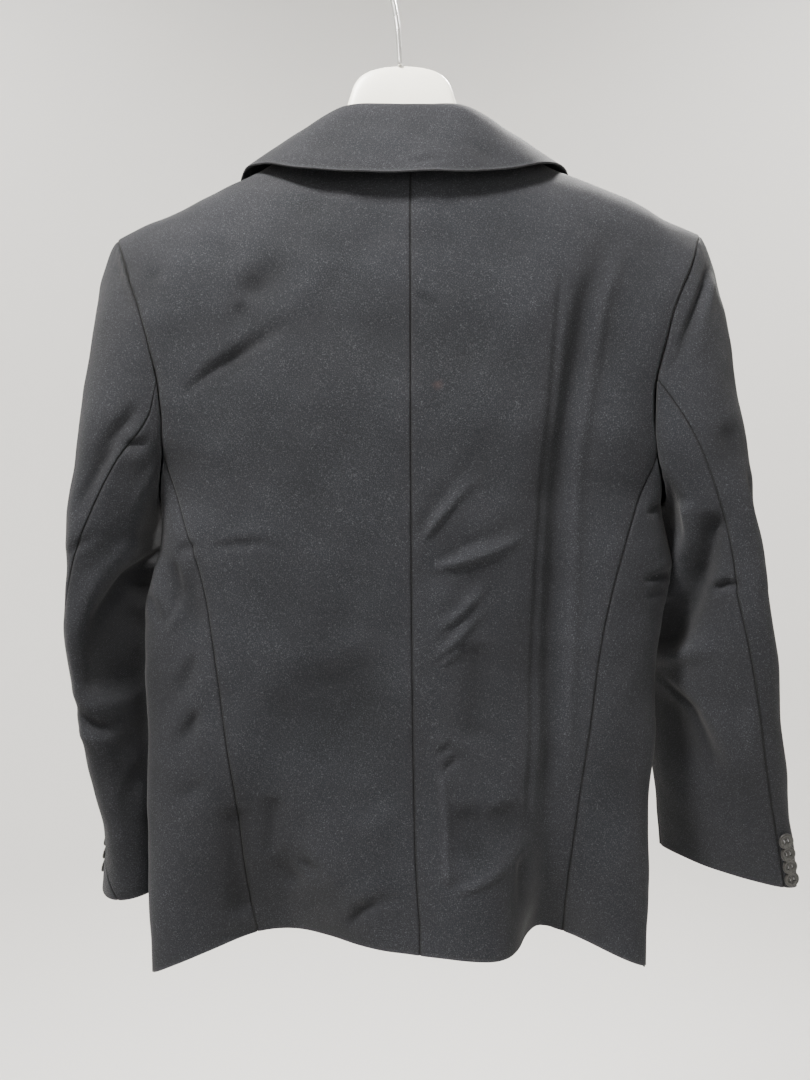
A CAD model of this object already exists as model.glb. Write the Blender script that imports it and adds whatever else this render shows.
# %% [markdown]
# # A blazer on a hanger, from cut panels to cloth
#
# A tailor cuts a blazer flat and sews it into a shape that no flat piece has. This lesson
# does the same in Blender. The hard frame, which is what physics uses, is loaded first. Each
# panel is then drawn again on the same surface as its solid, far more finely, and gets its
# creases, its seams and its wool.
#
# Everything is in metres. The origin is the inner top of the hook, the front faces -Y and
# the back, which the camera sees, faces +Y.

import math

import bmesh
import bpy
import numpy as np
from mathutils import Matrix, Vector


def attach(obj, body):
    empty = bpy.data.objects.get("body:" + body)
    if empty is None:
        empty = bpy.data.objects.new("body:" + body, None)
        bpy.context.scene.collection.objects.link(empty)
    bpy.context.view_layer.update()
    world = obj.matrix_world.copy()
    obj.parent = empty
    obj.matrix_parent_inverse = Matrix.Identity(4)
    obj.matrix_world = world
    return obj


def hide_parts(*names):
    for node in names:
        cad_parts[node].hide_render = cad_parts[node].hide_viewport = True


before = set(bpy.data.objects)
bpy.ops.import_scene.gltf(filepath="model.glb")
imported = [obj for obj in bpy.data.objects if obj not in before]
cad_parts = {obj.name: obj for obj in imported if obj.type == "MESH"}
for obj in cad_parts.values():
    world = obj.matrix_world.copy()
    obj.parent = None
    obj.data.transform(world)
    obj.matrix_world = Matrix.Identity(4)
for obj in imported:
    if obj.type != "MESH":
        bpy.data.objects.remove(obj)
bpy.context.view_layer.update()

# %% [markdown]
# ## The camera and the room
#
# The photograph was taken from behind the blazer, level with the middle of its back and so
# close that what is nearer looks bigger. A camera 0.72 m away with a wide lens gives the
# same lines. The room is one round, pale sweep, so no corner shows from any side.

# %% The camera
VIEW_DISTANCE = 0.72
VIEW_HEIGHT = -0.537
PICTURE = (810, 1080)
FOCAL_PIXELS = 811.0
SENSOR = 36.0


def add_object(name, data):
    """A new object in the scene."""
    made = bpy.data.objects.new(name, data)
    bpy.context.scene.collection.objects.link(made)
    return made


def add_camera():
    data = bpy.data.cameras.new("camera")
    data.sensor_fit = "VERTICAL"
    data.sensor_height = SENSOR
    data.lens = FOCAL_PIXELS / PICTURE[1] * SENSOR
    data.clip_start = 0.01
    camera = add_object("camera", data)
    camera.location = (0.0, VIEW_DISTANCE, VIEW_HEIGHT)
    camera.rotation_euler = (math.radians(90), 0, math.radians(180))
    bpy.context.scene.camera = camera


add_camera()
print("camera:", tuple(bpy.context.scene.camera.location))

# %% A round sweep
def add_sweep():
    """A floor that turns up into a round wall, as one turned surface."""
    floor_z, radius, corner, top = -1.90, 4.4, 1.4, 4.0
    profile = [(0.0, floor_z), (radius - corner, floor_z)]
    for angle in np.radians(np.arange(10, 91, 10)):
        out = radius - corner + corner * math.sin(angle)
        profile.append((out, floor_z + corner * (1 - math.cos(angle))))
    profile.append((radius, top))
    sides = 96
    turns = np.linspace(0, 2 * math.pi, sides, endpoint=False)
    points = [(r * math.cos(a), r * math.sin(a), z) for r, z in profile for a in turns]
    faces = []
    for ring in range(len(profile) - 1):
        for i in range(sides):
            j = (i + 1) % sides
            low, high = ring * sides, (ring + 1) * sides
            faces.append((low + i, high + i, high + j, low + j))
    data = bpy.data.meshes.new("sweep")
    data.from_pydata(points, [], faces)
    data.shade_smooth()
    paint = bpy.data.materials.new("sweep_paint")
    paint.use_nodes = True
    shader = paint.node_tree.nodes["Principled BSDF"]
    shader.inputs["Base Color"].default_value = (0.84, 0.83, 0.81, 1)
    shader.inputs["Roughness"].default_value = 0.9
    data.materials.append(paint)
    sweep = add_object("sweep", data)
    print("faces of the sweep:", len(faces))


add_sweep()

# %% Lights
def add_light(name, place, target, size, watts, colour):
    data = bpy.data.lights.new(name, "AREA")
    data.shape = "DISK"
    data.size = size
    data.energy = watts
    data.color = colour
    lamp = add_object(name, data)
    lamp.location = place
    way = Vector(target) - Vector(place)
    lamp.rotation_euler = way.to_track_quat("-Z", "Y").to_euler()


WARM, NEUTRAL, COOL = (1.0, 0.98, 0.95), (1.0, 0.99, 0.97), (0.94, 0.97, 1.0)
add_light("key", (0.55, 0.66, 0.88), (0.0, 0.0, -0.35), 0.34, 112, WARM)
add_light("front_key", (-0.55, -0.80, 0.95), (0.0, 0.0, -0.40), 0.34, 112, WARM)
add_light("fill", (-1.2, 2.2, 0.2), (0.0, 0.0, -0.4), 1.4, 3, COOL)
for turn in range(4):
    angle = math.radians(45 + 90 * turn)
    way = Vector((math.cos(angle), math.sin(angle), 0.0))
    place, target = way * 2.0 + Vector((0, 0, 2.4)), way * 4.4 + Vector((0, 0, 1.0))
    add_light(f"wall_{turn}", place, target, 1.6, 78, NEUTRAL)
world = bpy.data.worlds.new("room")
bpy.context.scene.world = world
world.use_nodes = True
backdrop = world.node_tree.nodes["Background"].inputs
backdrop["Color"].default_value = (0.86, 0.88, 0.92, 1)
backdrop["Strength"].default_value = 0.06
print("lamps:", len(bpy.data.lights))

# %% [markdown]
# ## The body as two depth fields
#
# A jacket on a hanger is a flat tube: its back and its front hang from one shoulder line and
# meet at the side folds. Sculpting it would lose its measures. Instead two functions say how
# deep the back and the front lie at any place across and any height, from short tables of
# levels. A smooth curve through each column fills in what is between the levels.

# %% Sizes of the shoulders
WALL = 0.002
SIDES = {"left": 1.0, "right": -1.0}
RIDGE_TOP = -0.1458
RIDGE_SLOPE = {"left": 0.500, "right": 0.470}
RIDGE_SOFT = 0.020
RIDGE_Y = -0.002
NECK_HALF = 0.080
BACK_NECK_Z = -0.199
SHOULDER_HALF = {"left": 0.2530, "right": 0.2592}
ROLL_POWER = 2.2
BACK_ROLL = 0.115
FRONT_ROLL = 0.120
print("across the shoulders:", sum(SHOULDER_HALF.values()))

# %% Reading a table smoothly
def table(columns, *rows):
    """A short table: its named columns, with one row for each level or section."""
    return dict(zip(columns.split(), np.array(rows, float).T))


def smooth(rows, column, at):
    """Reads a column anywhere along the first one, on a monotone cubic through the rows."""
    along = next(iter(rows.values()))
    order = np.argsort(along)
    x = along[order]
    y = rows[column][order]
    step = np.diff(x)
    slope = np.diff(y) / step
    tangent = np.zeros_like(y)
    product = slope[:-1] * slope[1:]
    first = 2 * step[1:] + step[:-1]
    second = step[1:] + 2 * step[:-1]
    turning = product <= 0
    safe = np.where(turning, 1.0, slope[:-1]), np.where(turning, 1.0, slope[1:])
    mean = (first + second) / (first / safe[0] + second / safe[1])
    tangent[1:-1] = np.where(turning, 0.0, mean)
    tangent[0] = slope[0]
    tangent[-1] = slope[-1]
    q = np.clip(at, x[0], x[-1])
    i = np.clip(np.searchsorted(x, q, side="right") - 1, 0, len(step) - 1)
    t = (q - x[i]) / step[i]
    value = y[i] * (1 + 2 * t) * (1 - t) ** 2 + y[i + 1] * t * t * (3 - 2 * t)
    return value + step[i] * (tangent[i] * t * (1 - t) ** 2 + tangent[i + 1] * t * t * (t - 1))


tried = table("z      x", (0, 0), (1, 1), (2, 4))
print("half way between two rows:", float(smooth(tried, "x", 0.5)))

# %% Levels of the body and its drapes
# Levels of the body: the half widths to the side folds, and the depths of back and front
BODY = table(
    "z      left    right   back    front",
    (-0.190, 0.340, 0.345, 0.036, -0.030),
    (-0.260, 0.335, 0.340, 0.050, -0.044),
    (-0.350, 0.300, 0.305, 0.058, -0.055),
    (-0.440, 0.250, 0.256, 0.056, -0.060),
    (-0.507, 0.213, 0.228, 0.052, -0.060),
    (-0.560, 0.219, 0.2352, 0.049, -0.060),
    (-0.606, 0.2285, 0.2258, 0.047, -0.061),
    (-0.650, 0.2285, 0.2200, 0.046, -0.062),
    (-0.700, 0.2262, 0.2180, 0.047, -0.064),
    (-0.760, 0.2235, 0.2125, 0.049, -0.066),
    (-0.830, 0.2205, 0.2102, 0.052, -0.070),
    (-0.910, 0.2184, 0.2080, 0.055, -0.074),
)
SIDE_FOLD_Y = table(
    "z      y",
    (-0.440, 0.000),
    (-0.560, 0.004),
    (-0.700, 0.012),
    (-0.910, 0.020),
)

# Long drapes of the back, followed down: place across, depth, width to each side
DRAPES = (
    table(
        "z      x       depth   low     high",
        (-0.250, -0.1900, 0.0000, 0.040, 0.0225),
        (-0.310, -0.1740, -0.0040, 0.040, 0.0225),
        (-0.394, -0.1510, -0.0080, 0.040, 0.0225),
        (-0.533, -0.1323, -0.0090, 0.040, 0.0225),
        (-0.670, -0.1290, -0.0100, 0.040, 0.0225),
        (-0.755, -0.1275, -0.0140, 0.045, 0.0225),
        (-0.800, -0.1230, -0.0220, 0.050, 0.0225),
        (-0.880, -0.1207, -0.0540, 0.058, 0.0225),
    ),
    table(
        "z      x       depth   low     high",
        (-0.640, 0.1100, 0.0000, 0.050, 0.060),
        (-0.720, 0.1080, -0.0050, 0.050, 0.060),
        (-0.800, 0.1070, -0.0200, 0.050, 0.065),
        (-0.880, 0.1066, -0.0500, 0.055, 0.070),
    ),
    table(
        "z      x       depth   low     high",
        (-0.700, -0.0600, 0.0000, 0.035, 0.045),
        (-0.880, -0.0650, 0.0160, 0.035, 0.045),
    ),
)
print("levels:", len(BODY["z"]), "drapes:", len(DRAPES))

# %% The shoulder line and the drapes
def softstep(value):
    t = np.clip(value, 0.0, 1.0)
    return t * t * (3 - 2 * t)


def blend(start, end, share):
    """From one value at 0 to the other at 1."""
    return start + (end - start) * share


def unit(vectors):
    return vectors / np.linalg.norm(vectors, axis=-1, keepdims=True)


def ridge(x):
    """Height of the shoulder line above a place across."""
    mean = (RIDGE_SLOPE["left"] + RIDGE_SLOPE["right"]) / 2
    half = (RIDGE_SLOPE["left"] - RIDGE_SLOPE["right"]) / 2
    slope = mean + half * np.tanh(x / NECK_HALF)
    return RIDGE_TOP - slope * np.sqrt(x * x + RIDGE_SOFT**2)


def roll_over(x, z, height):
    """From 0 on the shoulder line to 1 where the cloth hangs straight."""
    down = np.clip((ridge(x) - z) / height, 0.0, 1.0)
    return (1 - (1 - down) ** ROLL_POWER) ** (1 / ROLL_POWER)


def drape(x, z):
    total = 0.0
    for fold in DRAPES:
        off = x - smooth(fold, "x", z)
        width = np.where(off < 0, smooth(fold, "low", z), smooth(fold, "high", z))
        total = total + smooth(fold, "depth", z) * np.exp(-((off / width) ** 2))
    return total


print("shoulder line at the neck:", float(ridge(np.array(NECK_HALF))))

# %% The depth fields
def body_y(x, z, face):
    """Depth of the back or the front at a place across and a height."""
    half = np.where(x > 0, smooth(BODY, "left", z), smooth(BODY, "right", z))
    fold_y = smooth(SIDE_FOLD_Y, "y", z)
    across = np.clip(np.abs(x) / half, 0.0, 1.0)
    if face == "back":
        deep = smooth(BODY, "back", z) + drape(x, z)
        full = blend(fold_y, deep, np.sqrt(1 - across**4))
        return blend(RIDGE_Y, full, roll_over(x, z, BACK_ROLL))
    full = blend(fold_y, smooth(BODY, "front", z), np.sqrt(1 - across**3))
    return blend(RIDGE_Y, full, roll_over(x, z, FRONT_ROLL))


waist = np.array(-0.600)
print("depth of the back at the waist:", float(body_y(np.array(0.05), waist, "back")))

# %% Which way the cloth faces
def body_normal(x, z, face):
    """Outward direction of the back or the front, straight up on the shoulder line."""
    step = 2e-4
    out = 1.0 if face == "back" else -1.0
    across = body_y(x + step, z, face) - body_y(x - step, z, face)
    up = body_y(x, z + step, face) - body_y(x, z - step, face)
    normal = np.stack([-out * across, out * 2 * step + 0 * x, -out * up], axis=-1)
    slope = (ridge(x + step) - ridge(x - step)) / (2 * step)
    top = np.stack([-slope, 0 * x, 1 + 0 * x], axis=-1)
    near = (ridge(x) - z < 2 * step)[..., None]
    return unit(np.where(near, top, normal))


def either_face(behind, x, z):
    """Points and outward directions of the back where `behind` is true, else of the front."""
    y = np.where(behind, body_y(x, z, "back"), body_y(x, z, "front"))
    back_out, front_out = body_normal(x, z, "back"), body_normal(x, z, "front")
    return np.stack([x, y, z], axis=-1), np.where(behind[..., None], back_out, front_out)


print("the back faces", body_normal(np.array(0.05), waist, "back").round(3))

# %% [markdown]
# ## Where the panels are cut
#
# Each panel is a grid of rows and columns on those fields: the two halves of the back meet
# in a seam that wanders a little, the back ends at the armhole and below it at the side
# panel, and the fronts end at the roll line and the closing edge. Two panels that are sewn
# together share the points of their seam, so that they can't drift apart.

# %% Lines that the panels end on
ARMHOLE_JOIN_Z = -0.465
MIDDLE_JOIN_Z = -0.45
ARMHOLE_DROP = 0.042
BREAK_Z = -0.585
ROLL_LOW_Z = -0.555
ROLL_LOW_X = 0.008
OVERLAP = 0.018
FRONT_STEP = 0.0032
BACK_HEM_Z = -0.876
HEM_SAG = 0.032
FRONT_HEM_Z = -0.900
HEM_HALF = 0.2184
HEM_CORNER = 0.045

# Where the back ends: at the armhole above ARMHOLE_JOIN_Z, at the side seam below it
ARMHOLE = table(
    "z      left    right",
    (-0.268, 0.2565, 0.2592),
    (-0.285, 0.2455, 0.2500),
    (-0.300, 0.2390, 0.2437),
    (-0.320, 0.2315, 0.2340),
    (-0.345, 0.2213, 0.2238),
    (-0.380, 0.2117, 0.2153),
    (-0.410, 0.2055, 0.2092),
    (-0.440, 0.2033, 0.2090),
    (-0.465, 0.2046, 0.2127),
    (-0.507, 0.2130, 0.2270),
)
BACK_SEAM = table(
    "z      left    right",
    (-0.465, 0.2046, 0.2127),
    (-0.500, 0.1945, 0.1995),
    (-0.540, 0.1797, 0.1856),
    (-0.580, 0.1690, 0.1748),
    (-0.630, 0.1597, 0.1647),
    (-0.690, 0.1520, 0.1572),
    (-0.760, 0.1420, 0.1470),
    (-0.830, 0.1345, 0.1400),
    (-0.880, 0.1290, 0.1385),
)
FRONT_SEAM = table(
    "z      left    right",
    (-0.465, 0.2046, 0.2127),
    (-0.520, 0.1900, 0.1960),
    (-0.600, 0.1780, 0.1800),
    (-0.700, 0.1700, 0.1700),
    (-0.900, 0.1650, 0.1620),
)
CENTRE_BACK = table(
    "z      x",
    (-0.199, -0.0042),
    (-0.500, -0.0050),
    (-0.797, -0.0082),
    (-0.880, -0.0123),
)
print("hem at the centre:", BACK_HEM_Z, "and at the sides:", BACK_HEM_Z - HEM_SAG)

# %% Rows from the shoulder to the hem
ARMHOLE_ROWS = 10
SIDE_COLUMNS = 8
NECK_COLUMNS = 5
SHOULDER_COLUMNS = 9


def hem_z(x, face):
    share = (np.abs(x) / HEM_HALF) ** 4
    if face == "back":
        return BACK_HEM_Z - HEM_SAG * share
    return FRONT_HEM_Z - (HEM_SAG + FRONT_HEM_Z - BACK_HEM_Z) * share


# Levels of the rows below the armholes. The last one is the hem.
LEVELS = np.array(
    [-0.465, -0.495, -0.525, -0.555, -0.585, -0.615, -0.645, -0.680]
    + [-0.715, -0.750, -0.785, -0.820, -0.850, -0.872, -0.889, -0.908]
)
HEM_ROWS = 8


def level_z(x, row, face):
    """Height of a row below the armholes, drawn to the hem over the last rows."""
    share = np.clip((row - (len(LEVELS) - 1 - HEM_ROWS)) / HEM_ROWS, 0.0, 1.0)
    return LEVELS[row] + (hem_z(x, face) - LEVELS[-1]) * share**1.5


ROWS = ARMHOLE_ROWS + len(LEVELS)
print("rows:", ROWS)

# %% Rows beside the armhole
def armhole_fall(row):
    """How far down the armhole a row is, from 0 at the shoulder to 1."""
    return 1 - np.cos(row / ARMHOLE_ROWS * math.pi / 2)


def tip_z(side):
    return float(ridge(np.array(SIDES[side] * SHOULDER_HALF[side])))


def armhole_x(side, z):
    """Place across of an armhole, which starts at the shoulder's own tip."""
    tip = tip_z(side)
    miss = SHOULDER_HALF[side] - smooth(ARMHOLE, side, tip)
    return smooth(ARMHOLE, side, z) + miss * np.clip(1 - (tip - z) / 0.03, 0.0, 1.0)


def outer_edge(side, row, face):
    """Place across and height of the outer edge of back or front at a row."""
    if row <= ARMHOLE_ROWS:
        z = blend(tip_z(side), ARMHOLE_JOIN_Z, armhole_fall(row))
        return SIDES[side] * armhole_x(side, z), z
    seam = BACK_SEAM if face == "back" else FRONT_SEAM
    z = LEVELS[row - ARMHOLE_ROWS]
    for _ in range(6):
        x = SIDES[side] * smooth(seam, side, z)
        z = level_z(x, row - ARMHOLE_ROWS, face)
    return x, z


def fan(share, row):
    """Rows lie closer together near the shoulder line away from the neck."""
    even = row / ARMHOLE_ROWS
    return blend(even, armhole_fall(row), softstep(share / 0.2))


print("tip of the left shoulder:", tip_z("left"))

# %% A half of the back as a grid
def back_places(side):
    """Place across and height for every point of one half of the back."""
    sign = SIDES[side]
    neck = NECK_HALF / SHOULDER_HALF[side]
    inner = np.linspace(0, neck, NECK_COLUMNS + 1)
    outer = np.linspace(neck, 1, SHOULDER_COLUMNS + 1)
    shares = np.concatenate([inner, outer[1:]])
    xs = np.zeros((ROWS, len(shares)))
    zs = np.zeros_like(xs)
    top_x = sign * shares * SHOULDER_HALF[side]
    start = smooth(CENTRE_BACK, "x", BACK_NECK_Z)
    top_x = top_x + start * (1 - shares / neck) * (shares < neck)
    rise = softstep(np.clip(shares / neck, 0, 1))
    neck_z = blend(BACK_NECK_Z, ridge(sign * np.array(NECK_HALF)), rise**1.5)
    top_z = np.where(shares < neck - 1e-9, neck_z, ridge(top_x))
    for row in range(ROWS):
        edge_x, _ = outer_edge(side, row, "back")
        if row <= ARMHOLE_ROWS:
            low_z = blend(MIDDLE_JOIN_Z, ARMHOLE_JOIN_Z, shares)
            zs[row] = blend(top_z, low_z, fan(shares, row))
            centre = smooth(CENTRE_BACK, "x", zs[row][0])
            xs[row] = blend(blend(centre, edge_x, shares), top_x, row == 0)
            continue
        level = row - ARMHOLE_ROWS
        centre = smooth(CENTRE_BACK, "x", LEVELS[level])
        xs[row] = blend(centre, edge_x, shares)
        zs[row] = level_z(xs[row], level, "back")
    return xs, zs


print("a half back has", back_places("left")[0].shape, "rows and columns")

# %% The edge of a front
def front_edge(side, row):
    """Inner edge of a front: its roll line down to the break, then its closing edge."""
    neck_z = float(ridge(np.array(SIDES[side] * NECK_HALF)))
    if row <= ARMHOLE_ROWS:
        z = neck_z + (MIDDLE_JOIN_Z - neck_z) * row / ARMHOLE_ROWS
    else:
        z = level_z(0.0, row - ARMHOLE_ROWS, "front")
    fall = np.clip((z - neck_z) / (ROLL_LOW_Z - neck_z), 0.0, 1.0)
    x = blend(NECK_HALF, ROLL_LOW_X, fall)
    x = blend(x, -OVERLAP, softstep((ROLL_LOW_Z - z) / (ROLL_LOW_Z - BREAK_Z)))
    low = HEM_CORNER - (z - FRONT_HEM_Z)
    if low > 0:
        x += HEM_CORNER - math.sqrt(max(HEM_CORNER**2 - low**2, 0.0))
    return SIDES[side] * x, z


print("inner edge at the shoulder:", front_edge("left", 0))

# %% A front as a grid
def front_places(side):
    """Place across and height for every point of one front."""
    shares = np.linspace(0, 1, SHOULDER_COLUMNS + 1)
    xs = np.zeros((ROWS, len(shares)))
    zs = np.zeros_like(xs)
    for row in range(ROWS):
        in_x, in_z = front_edge(side, row)
        edge_x, edge_z = outer_edge(side, row, "front")
        xs[row] = blend(in_x, edge_x, shares)
        if row <= ARMHOLE_ROWS:
            top = ridge(SIDES[side] * blend(NECK_HALF, SHOULDER_HALF[side], shares))
            low_z = blend(MIDDLE_JOIN_Z, ARMHOLE_JOIN_Z, shares)
            zs[row] = blend(top, low_z, fan(shares, row))
            continue
        level = row - ARMHOLE_ROWS
        zs[row] = blend(in_z, edge_z, shares)
        if level >= len(LEVELS) - 4:
            zs[row] = level_z(xs[row], level, "front")
        zs[row][0] = in_z
    return xs, zs


print("a front has", front_places("left")[0].shape, "rows and columns")

# %% Points on the cloth
def front_lift(x, side):
    """The right front lies over the left one where they close."""
    if side == "left":
        return 0 * x
    return FRONT_STEP * softstep((x + 0.050) / 0.025)


def places(side, face):
    return back_places(side) if face == "back" else front_places(side)


def on_face(side, x, z, face):
    """Points of the outer cloth at places across and heights."""
    y = body_y(x, z, face)
    if face == "front":
        y = y - front_lift(x, side)
    return np.stack([x, y, z], axis=-1)


print("a point of the back:", on_face("left", waist * 0, waist, "back"))

# %% [markdown]
# ## Side panels
#
# The side panel goes round the fold under the arm, from the side seam of the back to that
# of the front, with a hollowed top for the lower part of the armhole. Each of its points
# is a share of a turn and a row.

# %% The plan of a side panel
def armhole_floor(side, turn):
    """The low part of an armhole, from the back seam at 0 to the front seam at 1."""
    z = ARMHOLE_JOIN_Z - ARMHOLE_DROP * np.sin(math.pi * turn)
    x = SIDES[side] * smooth(ARMHOLE, side, z)
    corner = SIDES[side] * smooth(ARMHOLE, side, ARMHOLE_JOIN_Z)
    corner_z = np.array(ARMHOLE_JOIN_Z)
    back = body_y(corner, corner_z, "back")
    front = body_y(corner, corner_z, "front") - front_lift(corner, side)
    y = (back + front) / 2 + (back - front) / 2 * np.cos(math.pi * turn)
    return np.stack([x, y, z], axis=-1)


def side_ring(side, turn, z):
    """A point of the body's plan between its two side seams."""
    sign = SIDES[side]
    fold = smooth(BODY, side, z)
    swing = np.sin(math.pi * turn)
    back_x = smooth(BACK_SEAM, side, z)
    front_x = smooth(FRONT_SEAM, side, z)
    x_back = sign * blend(back_x, fold, swing)
    x_front = sign * blend(front_x, fold, swing)
    behind = turn <= 0.5
    x = np.where(behind, x_back, x_front)
    y = np.where(behind, body_y(x_back, z, "back"), body_y(x_front, z, "front"))
    return np.stack([x, y, z + 0 * x], axis=-1)


under_arm = armhole_floor("left", np.array(0.5))
print("deepest point of the left armhole:", under_arm.round(3))

# %% Points of the side panels
def side_point(side, turn, row):
    """A point of a side panel. Rows may be fractions, for the directions across it."""
    levels = np.arange(len(LEVELS), dtype=float)
    place = smooth({"row": levels, "z": LEVELS}, "z", row)
    top = armhole_floor(side, turn)
    share = np.clip(row / (len(LEVELS) - 1.0), 0.0, 1.0)
    sink = (1 - share) ** 2 * (ARMHOLE_JOIN_Z - top[..., 2])
    z = place - sink
    face_hem = np.where(turn <= 0.5, *(side_hem(side, turn, face) for face in ("back", "front")))
    drawn = np.clip((row - (len(LEVELS) - 1 - HEM_ROWS)) / HEM_ROWS, 0.0, 1.0)
    z = z + (face_hem - LEVELS[-1]) * drawn**1.5
    ring = side_ring(side, turn, z)
    start = side_ring(side, turn, top[..., 2])
    fade = np.clip(1 - share / 0.35, 0.0, 1.0) ** 2
    return ring + (top - start) * fade[..., None]


def side_out(side, turn, row, step=1e-3):
    """The direction outwards at a point of a side panel."""
    along = side_point(side, turn + step, row) - side_point(side, turn - step, row)
    down = side_point(side, turn, row + step) - side_point(side, turn, row - step)
    return unit(np.cross(along, down)) * SIDES[side]


def side_hem(side, turn, face):
    """Height of the hem below a place of a side panel."""
    fold = smooth(BODY, side, LEVELS[-1])
    seam = BACK_SEAM if face == "back" else FRONT_SEAM
    inner = smooth(seam, side, LEVELS[-1])
    return hem_z(blend(inner, fold, np.sin(math.pi * turn)), face)


print("hem of the left side panel:", float(side_hem("left", 0.5, "back")))

# %% [markdown]
# ## Two-piece sleeves
#
# A tailored sleeve is a tube of two pieces, cut to bend at the elbow. Below the armpit it is
# a stack of flattened rings. Above it, a smooth curve from each place on the armhole down
# to the first ring makes the rounded head, which drops from the shoulder and tucks in below.

# %% Sections of the sleeves
# "long" and "short" are half widths of a section, "turn" is how far its long axis is turned
# from across to front-to-back, and "hind" is where its hind seam runs.
SLEEVES = {
    "left": table(
        "z      x      y       long   short  turn  hind",
        (-0.580, 0.2470, -0.014, 0.077, 0.0230, 68.0, 0.235),
        (-0.630, 0.2498, -0.016, 0.075, 0.0225, 71.0, 0.150),
        (-0.680, 0.2483, -0.020, 0.072, 0.0235, 74.0, 0.105),
        (-0.735, 0.2455, -0.027, 0.068, 0.0250, 79.0, 0.080),
        (-0.790, 0.2420, -0.032, 0.062, 0.0255, 84.0, 0.090),
        (-0.848, 0.2438, -0.035, 0.056, 0.0300, 88.0, 0.240),
    ),
    "right": table(
        "z      x      y       long   short  turn  hind",
        (-0.580, 0.2622, -0.014, 0.077, 0.0280, 66.0, 0.345),
        (-0.630, 0.2692, -0.016, 0.075, 0.0295, 63.0, 0.333),
        (-0.680, 0.2761, -0.020, 0.071, 0.0297, 58.0, 0.329),
        (-0.735, 0.2849, -0.028, 0.066, 0.0290, 52.0, 0.329),
        (-0.790, 0.2933, -0.037, 0.062, 0.0260, 43.0, 0.329),
        (-0.848, 0.3015, -0.045, 0.062, 0.0205, 36.0, 0.333),
    ),
}
HIND_CAP = table(
    "t      left    right",
    (0.000, 0.304, 0.304),
    (0.110, 0.335, 0.314),
    (0.220, 0.341, 0.320),
    (0.440, 0.331, 0.326),
    (0.670, 0.312, 0.336),
    (0.850, 0.280, 0.342),
    (1.000, 0.235, 0.345),
)
HEAD_SWELL = {"left": 0.52, "right": 0.42}
FLOOR_SWELL = 0.55
BICEP_Z = -0.580
CUFF_Z = {"left": -0.8477, "right": -0.8477}
CUFF_RISE = 0.013
CAP_ROWS = 9
ARM_ROWS = 10
FLOOR_SHARE = 0.12
HIND_START = 8
FORE_START = 7
FORE_LOW = 0.70
SEAM_LIFT = 0.00040
print("from shoulder to cuff:", tip_z("left") - CUFF_Z["left"])

# %% Round the armhole
def armhole_shares():
    """Places round an armhole, as shares of a turn from the shoulder backwards and down."""
    fall = np.linspace(0, 0.5 - FLOOR_SHARE, ARMHOLE_ROWS + 1)
    floor = np.linspace(0.5 - FLOOR_SHARE, 0.5 + FLOOR_SHARE, SIDE_COLUMNS + 1)
    rise = np.linspace(0.5 + FLOOR_SHARE, 1.0, ARMHOLE_ROWS + 1)
    return np.concatenate([fall, floor[1:], rise[1:]])


def armhole_point(side, share):
    """Points of the armhole, and the outward direction of the body at each."""
    share = share % 1.0
    last = 0.5 - FLOOR_SHARE
    short = np.minimum(share, 1.0 - share)
    row = np.minimum(short / last, 1.0) * ARMHOLE_ROWS
    z = blend(tip_z(side), ARMHOLE_JOIN_Z, armhole_fall(row))
    x = SIDES[side] * armhole_x(side, z)
    edge, edge_out = either_face(share < 0.5, x, z)
    turn = np.clip((share - last) / (2 * FLOOR_SHARE), 0.0, 1.0)
    floor_out = side_out(side, turn, np.full_like(turn, 1e-3))
    corner = np.abs(2 * turn - 1)[..., None] ** 6
    floor_out = unit(floor_out * (1 - corner) + edge_out * corner)
    on_edge = (short <= last)[..., None]
    point = np.where(on_edge, edge, armhole_floor(side, turn))
    return point, np.where(on_edge, edge_out, floor_out)


print("places round an armhole:", len(armhole_shares()))

# %% A sleeve's rings and seams
def sleeve_section(side, share, z):
    """A point of the sleeve's section at a height, hind edge towards +Y."""
    rows = SLEEVES[side]
    sign = SIDES[side]
    turn = np.radians(smooth(rows, "turn", z))
    angle = 2 * math.pi * share
    long = smooth(rows, "long", z) * np.sin(angle)
    short = smooth(rows, "short", z) * np.cos(angle)
    x = sign * (smooth(rows, "x", z) + np.cos(turn) * long + np.sin(turn) * short)
    y = smooth(rows, "y", z) + np.sin(turn) * long - np.cos(turn) * short
    return np.stack([x, y, z + 0 * x], axis=-1)


def seam_shares(side, row):
    """Where the hind and the fore seam of a sleeve run at a row."""
    shares = armhole_shares()
    fore_top = shares[-1 - FORE_START]
    rows = SLEEVES[side]
    if row <= CAP_ROWS:
        t = row / CAP_ROWS
        hind = smooth(HIND_CAP, side, t)
        return float(hind), float(blend(fore_top, FORE_LOW, softstep(t)))
    t = (row - CAP_ROWS) / ARM_ROWS
    return float(smooth(rows, "hind", blend(BICEP_Z, CUFF_Z[side], t))), FORE_LOW


print("seams at the cuff:", seam_shares("left", CAP_ROWS + ARM_ROWS))

# %% [markdown]
# ## Collar and lapels
#
# The collar is one piece that stands up from the neckline, folds over and falls on the back
# and the shoulders. The lapel is the front turned back round its roll line. The end of
# the collar takes its points from the top of the lapel, which is how the gorge seam fits.

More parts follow.
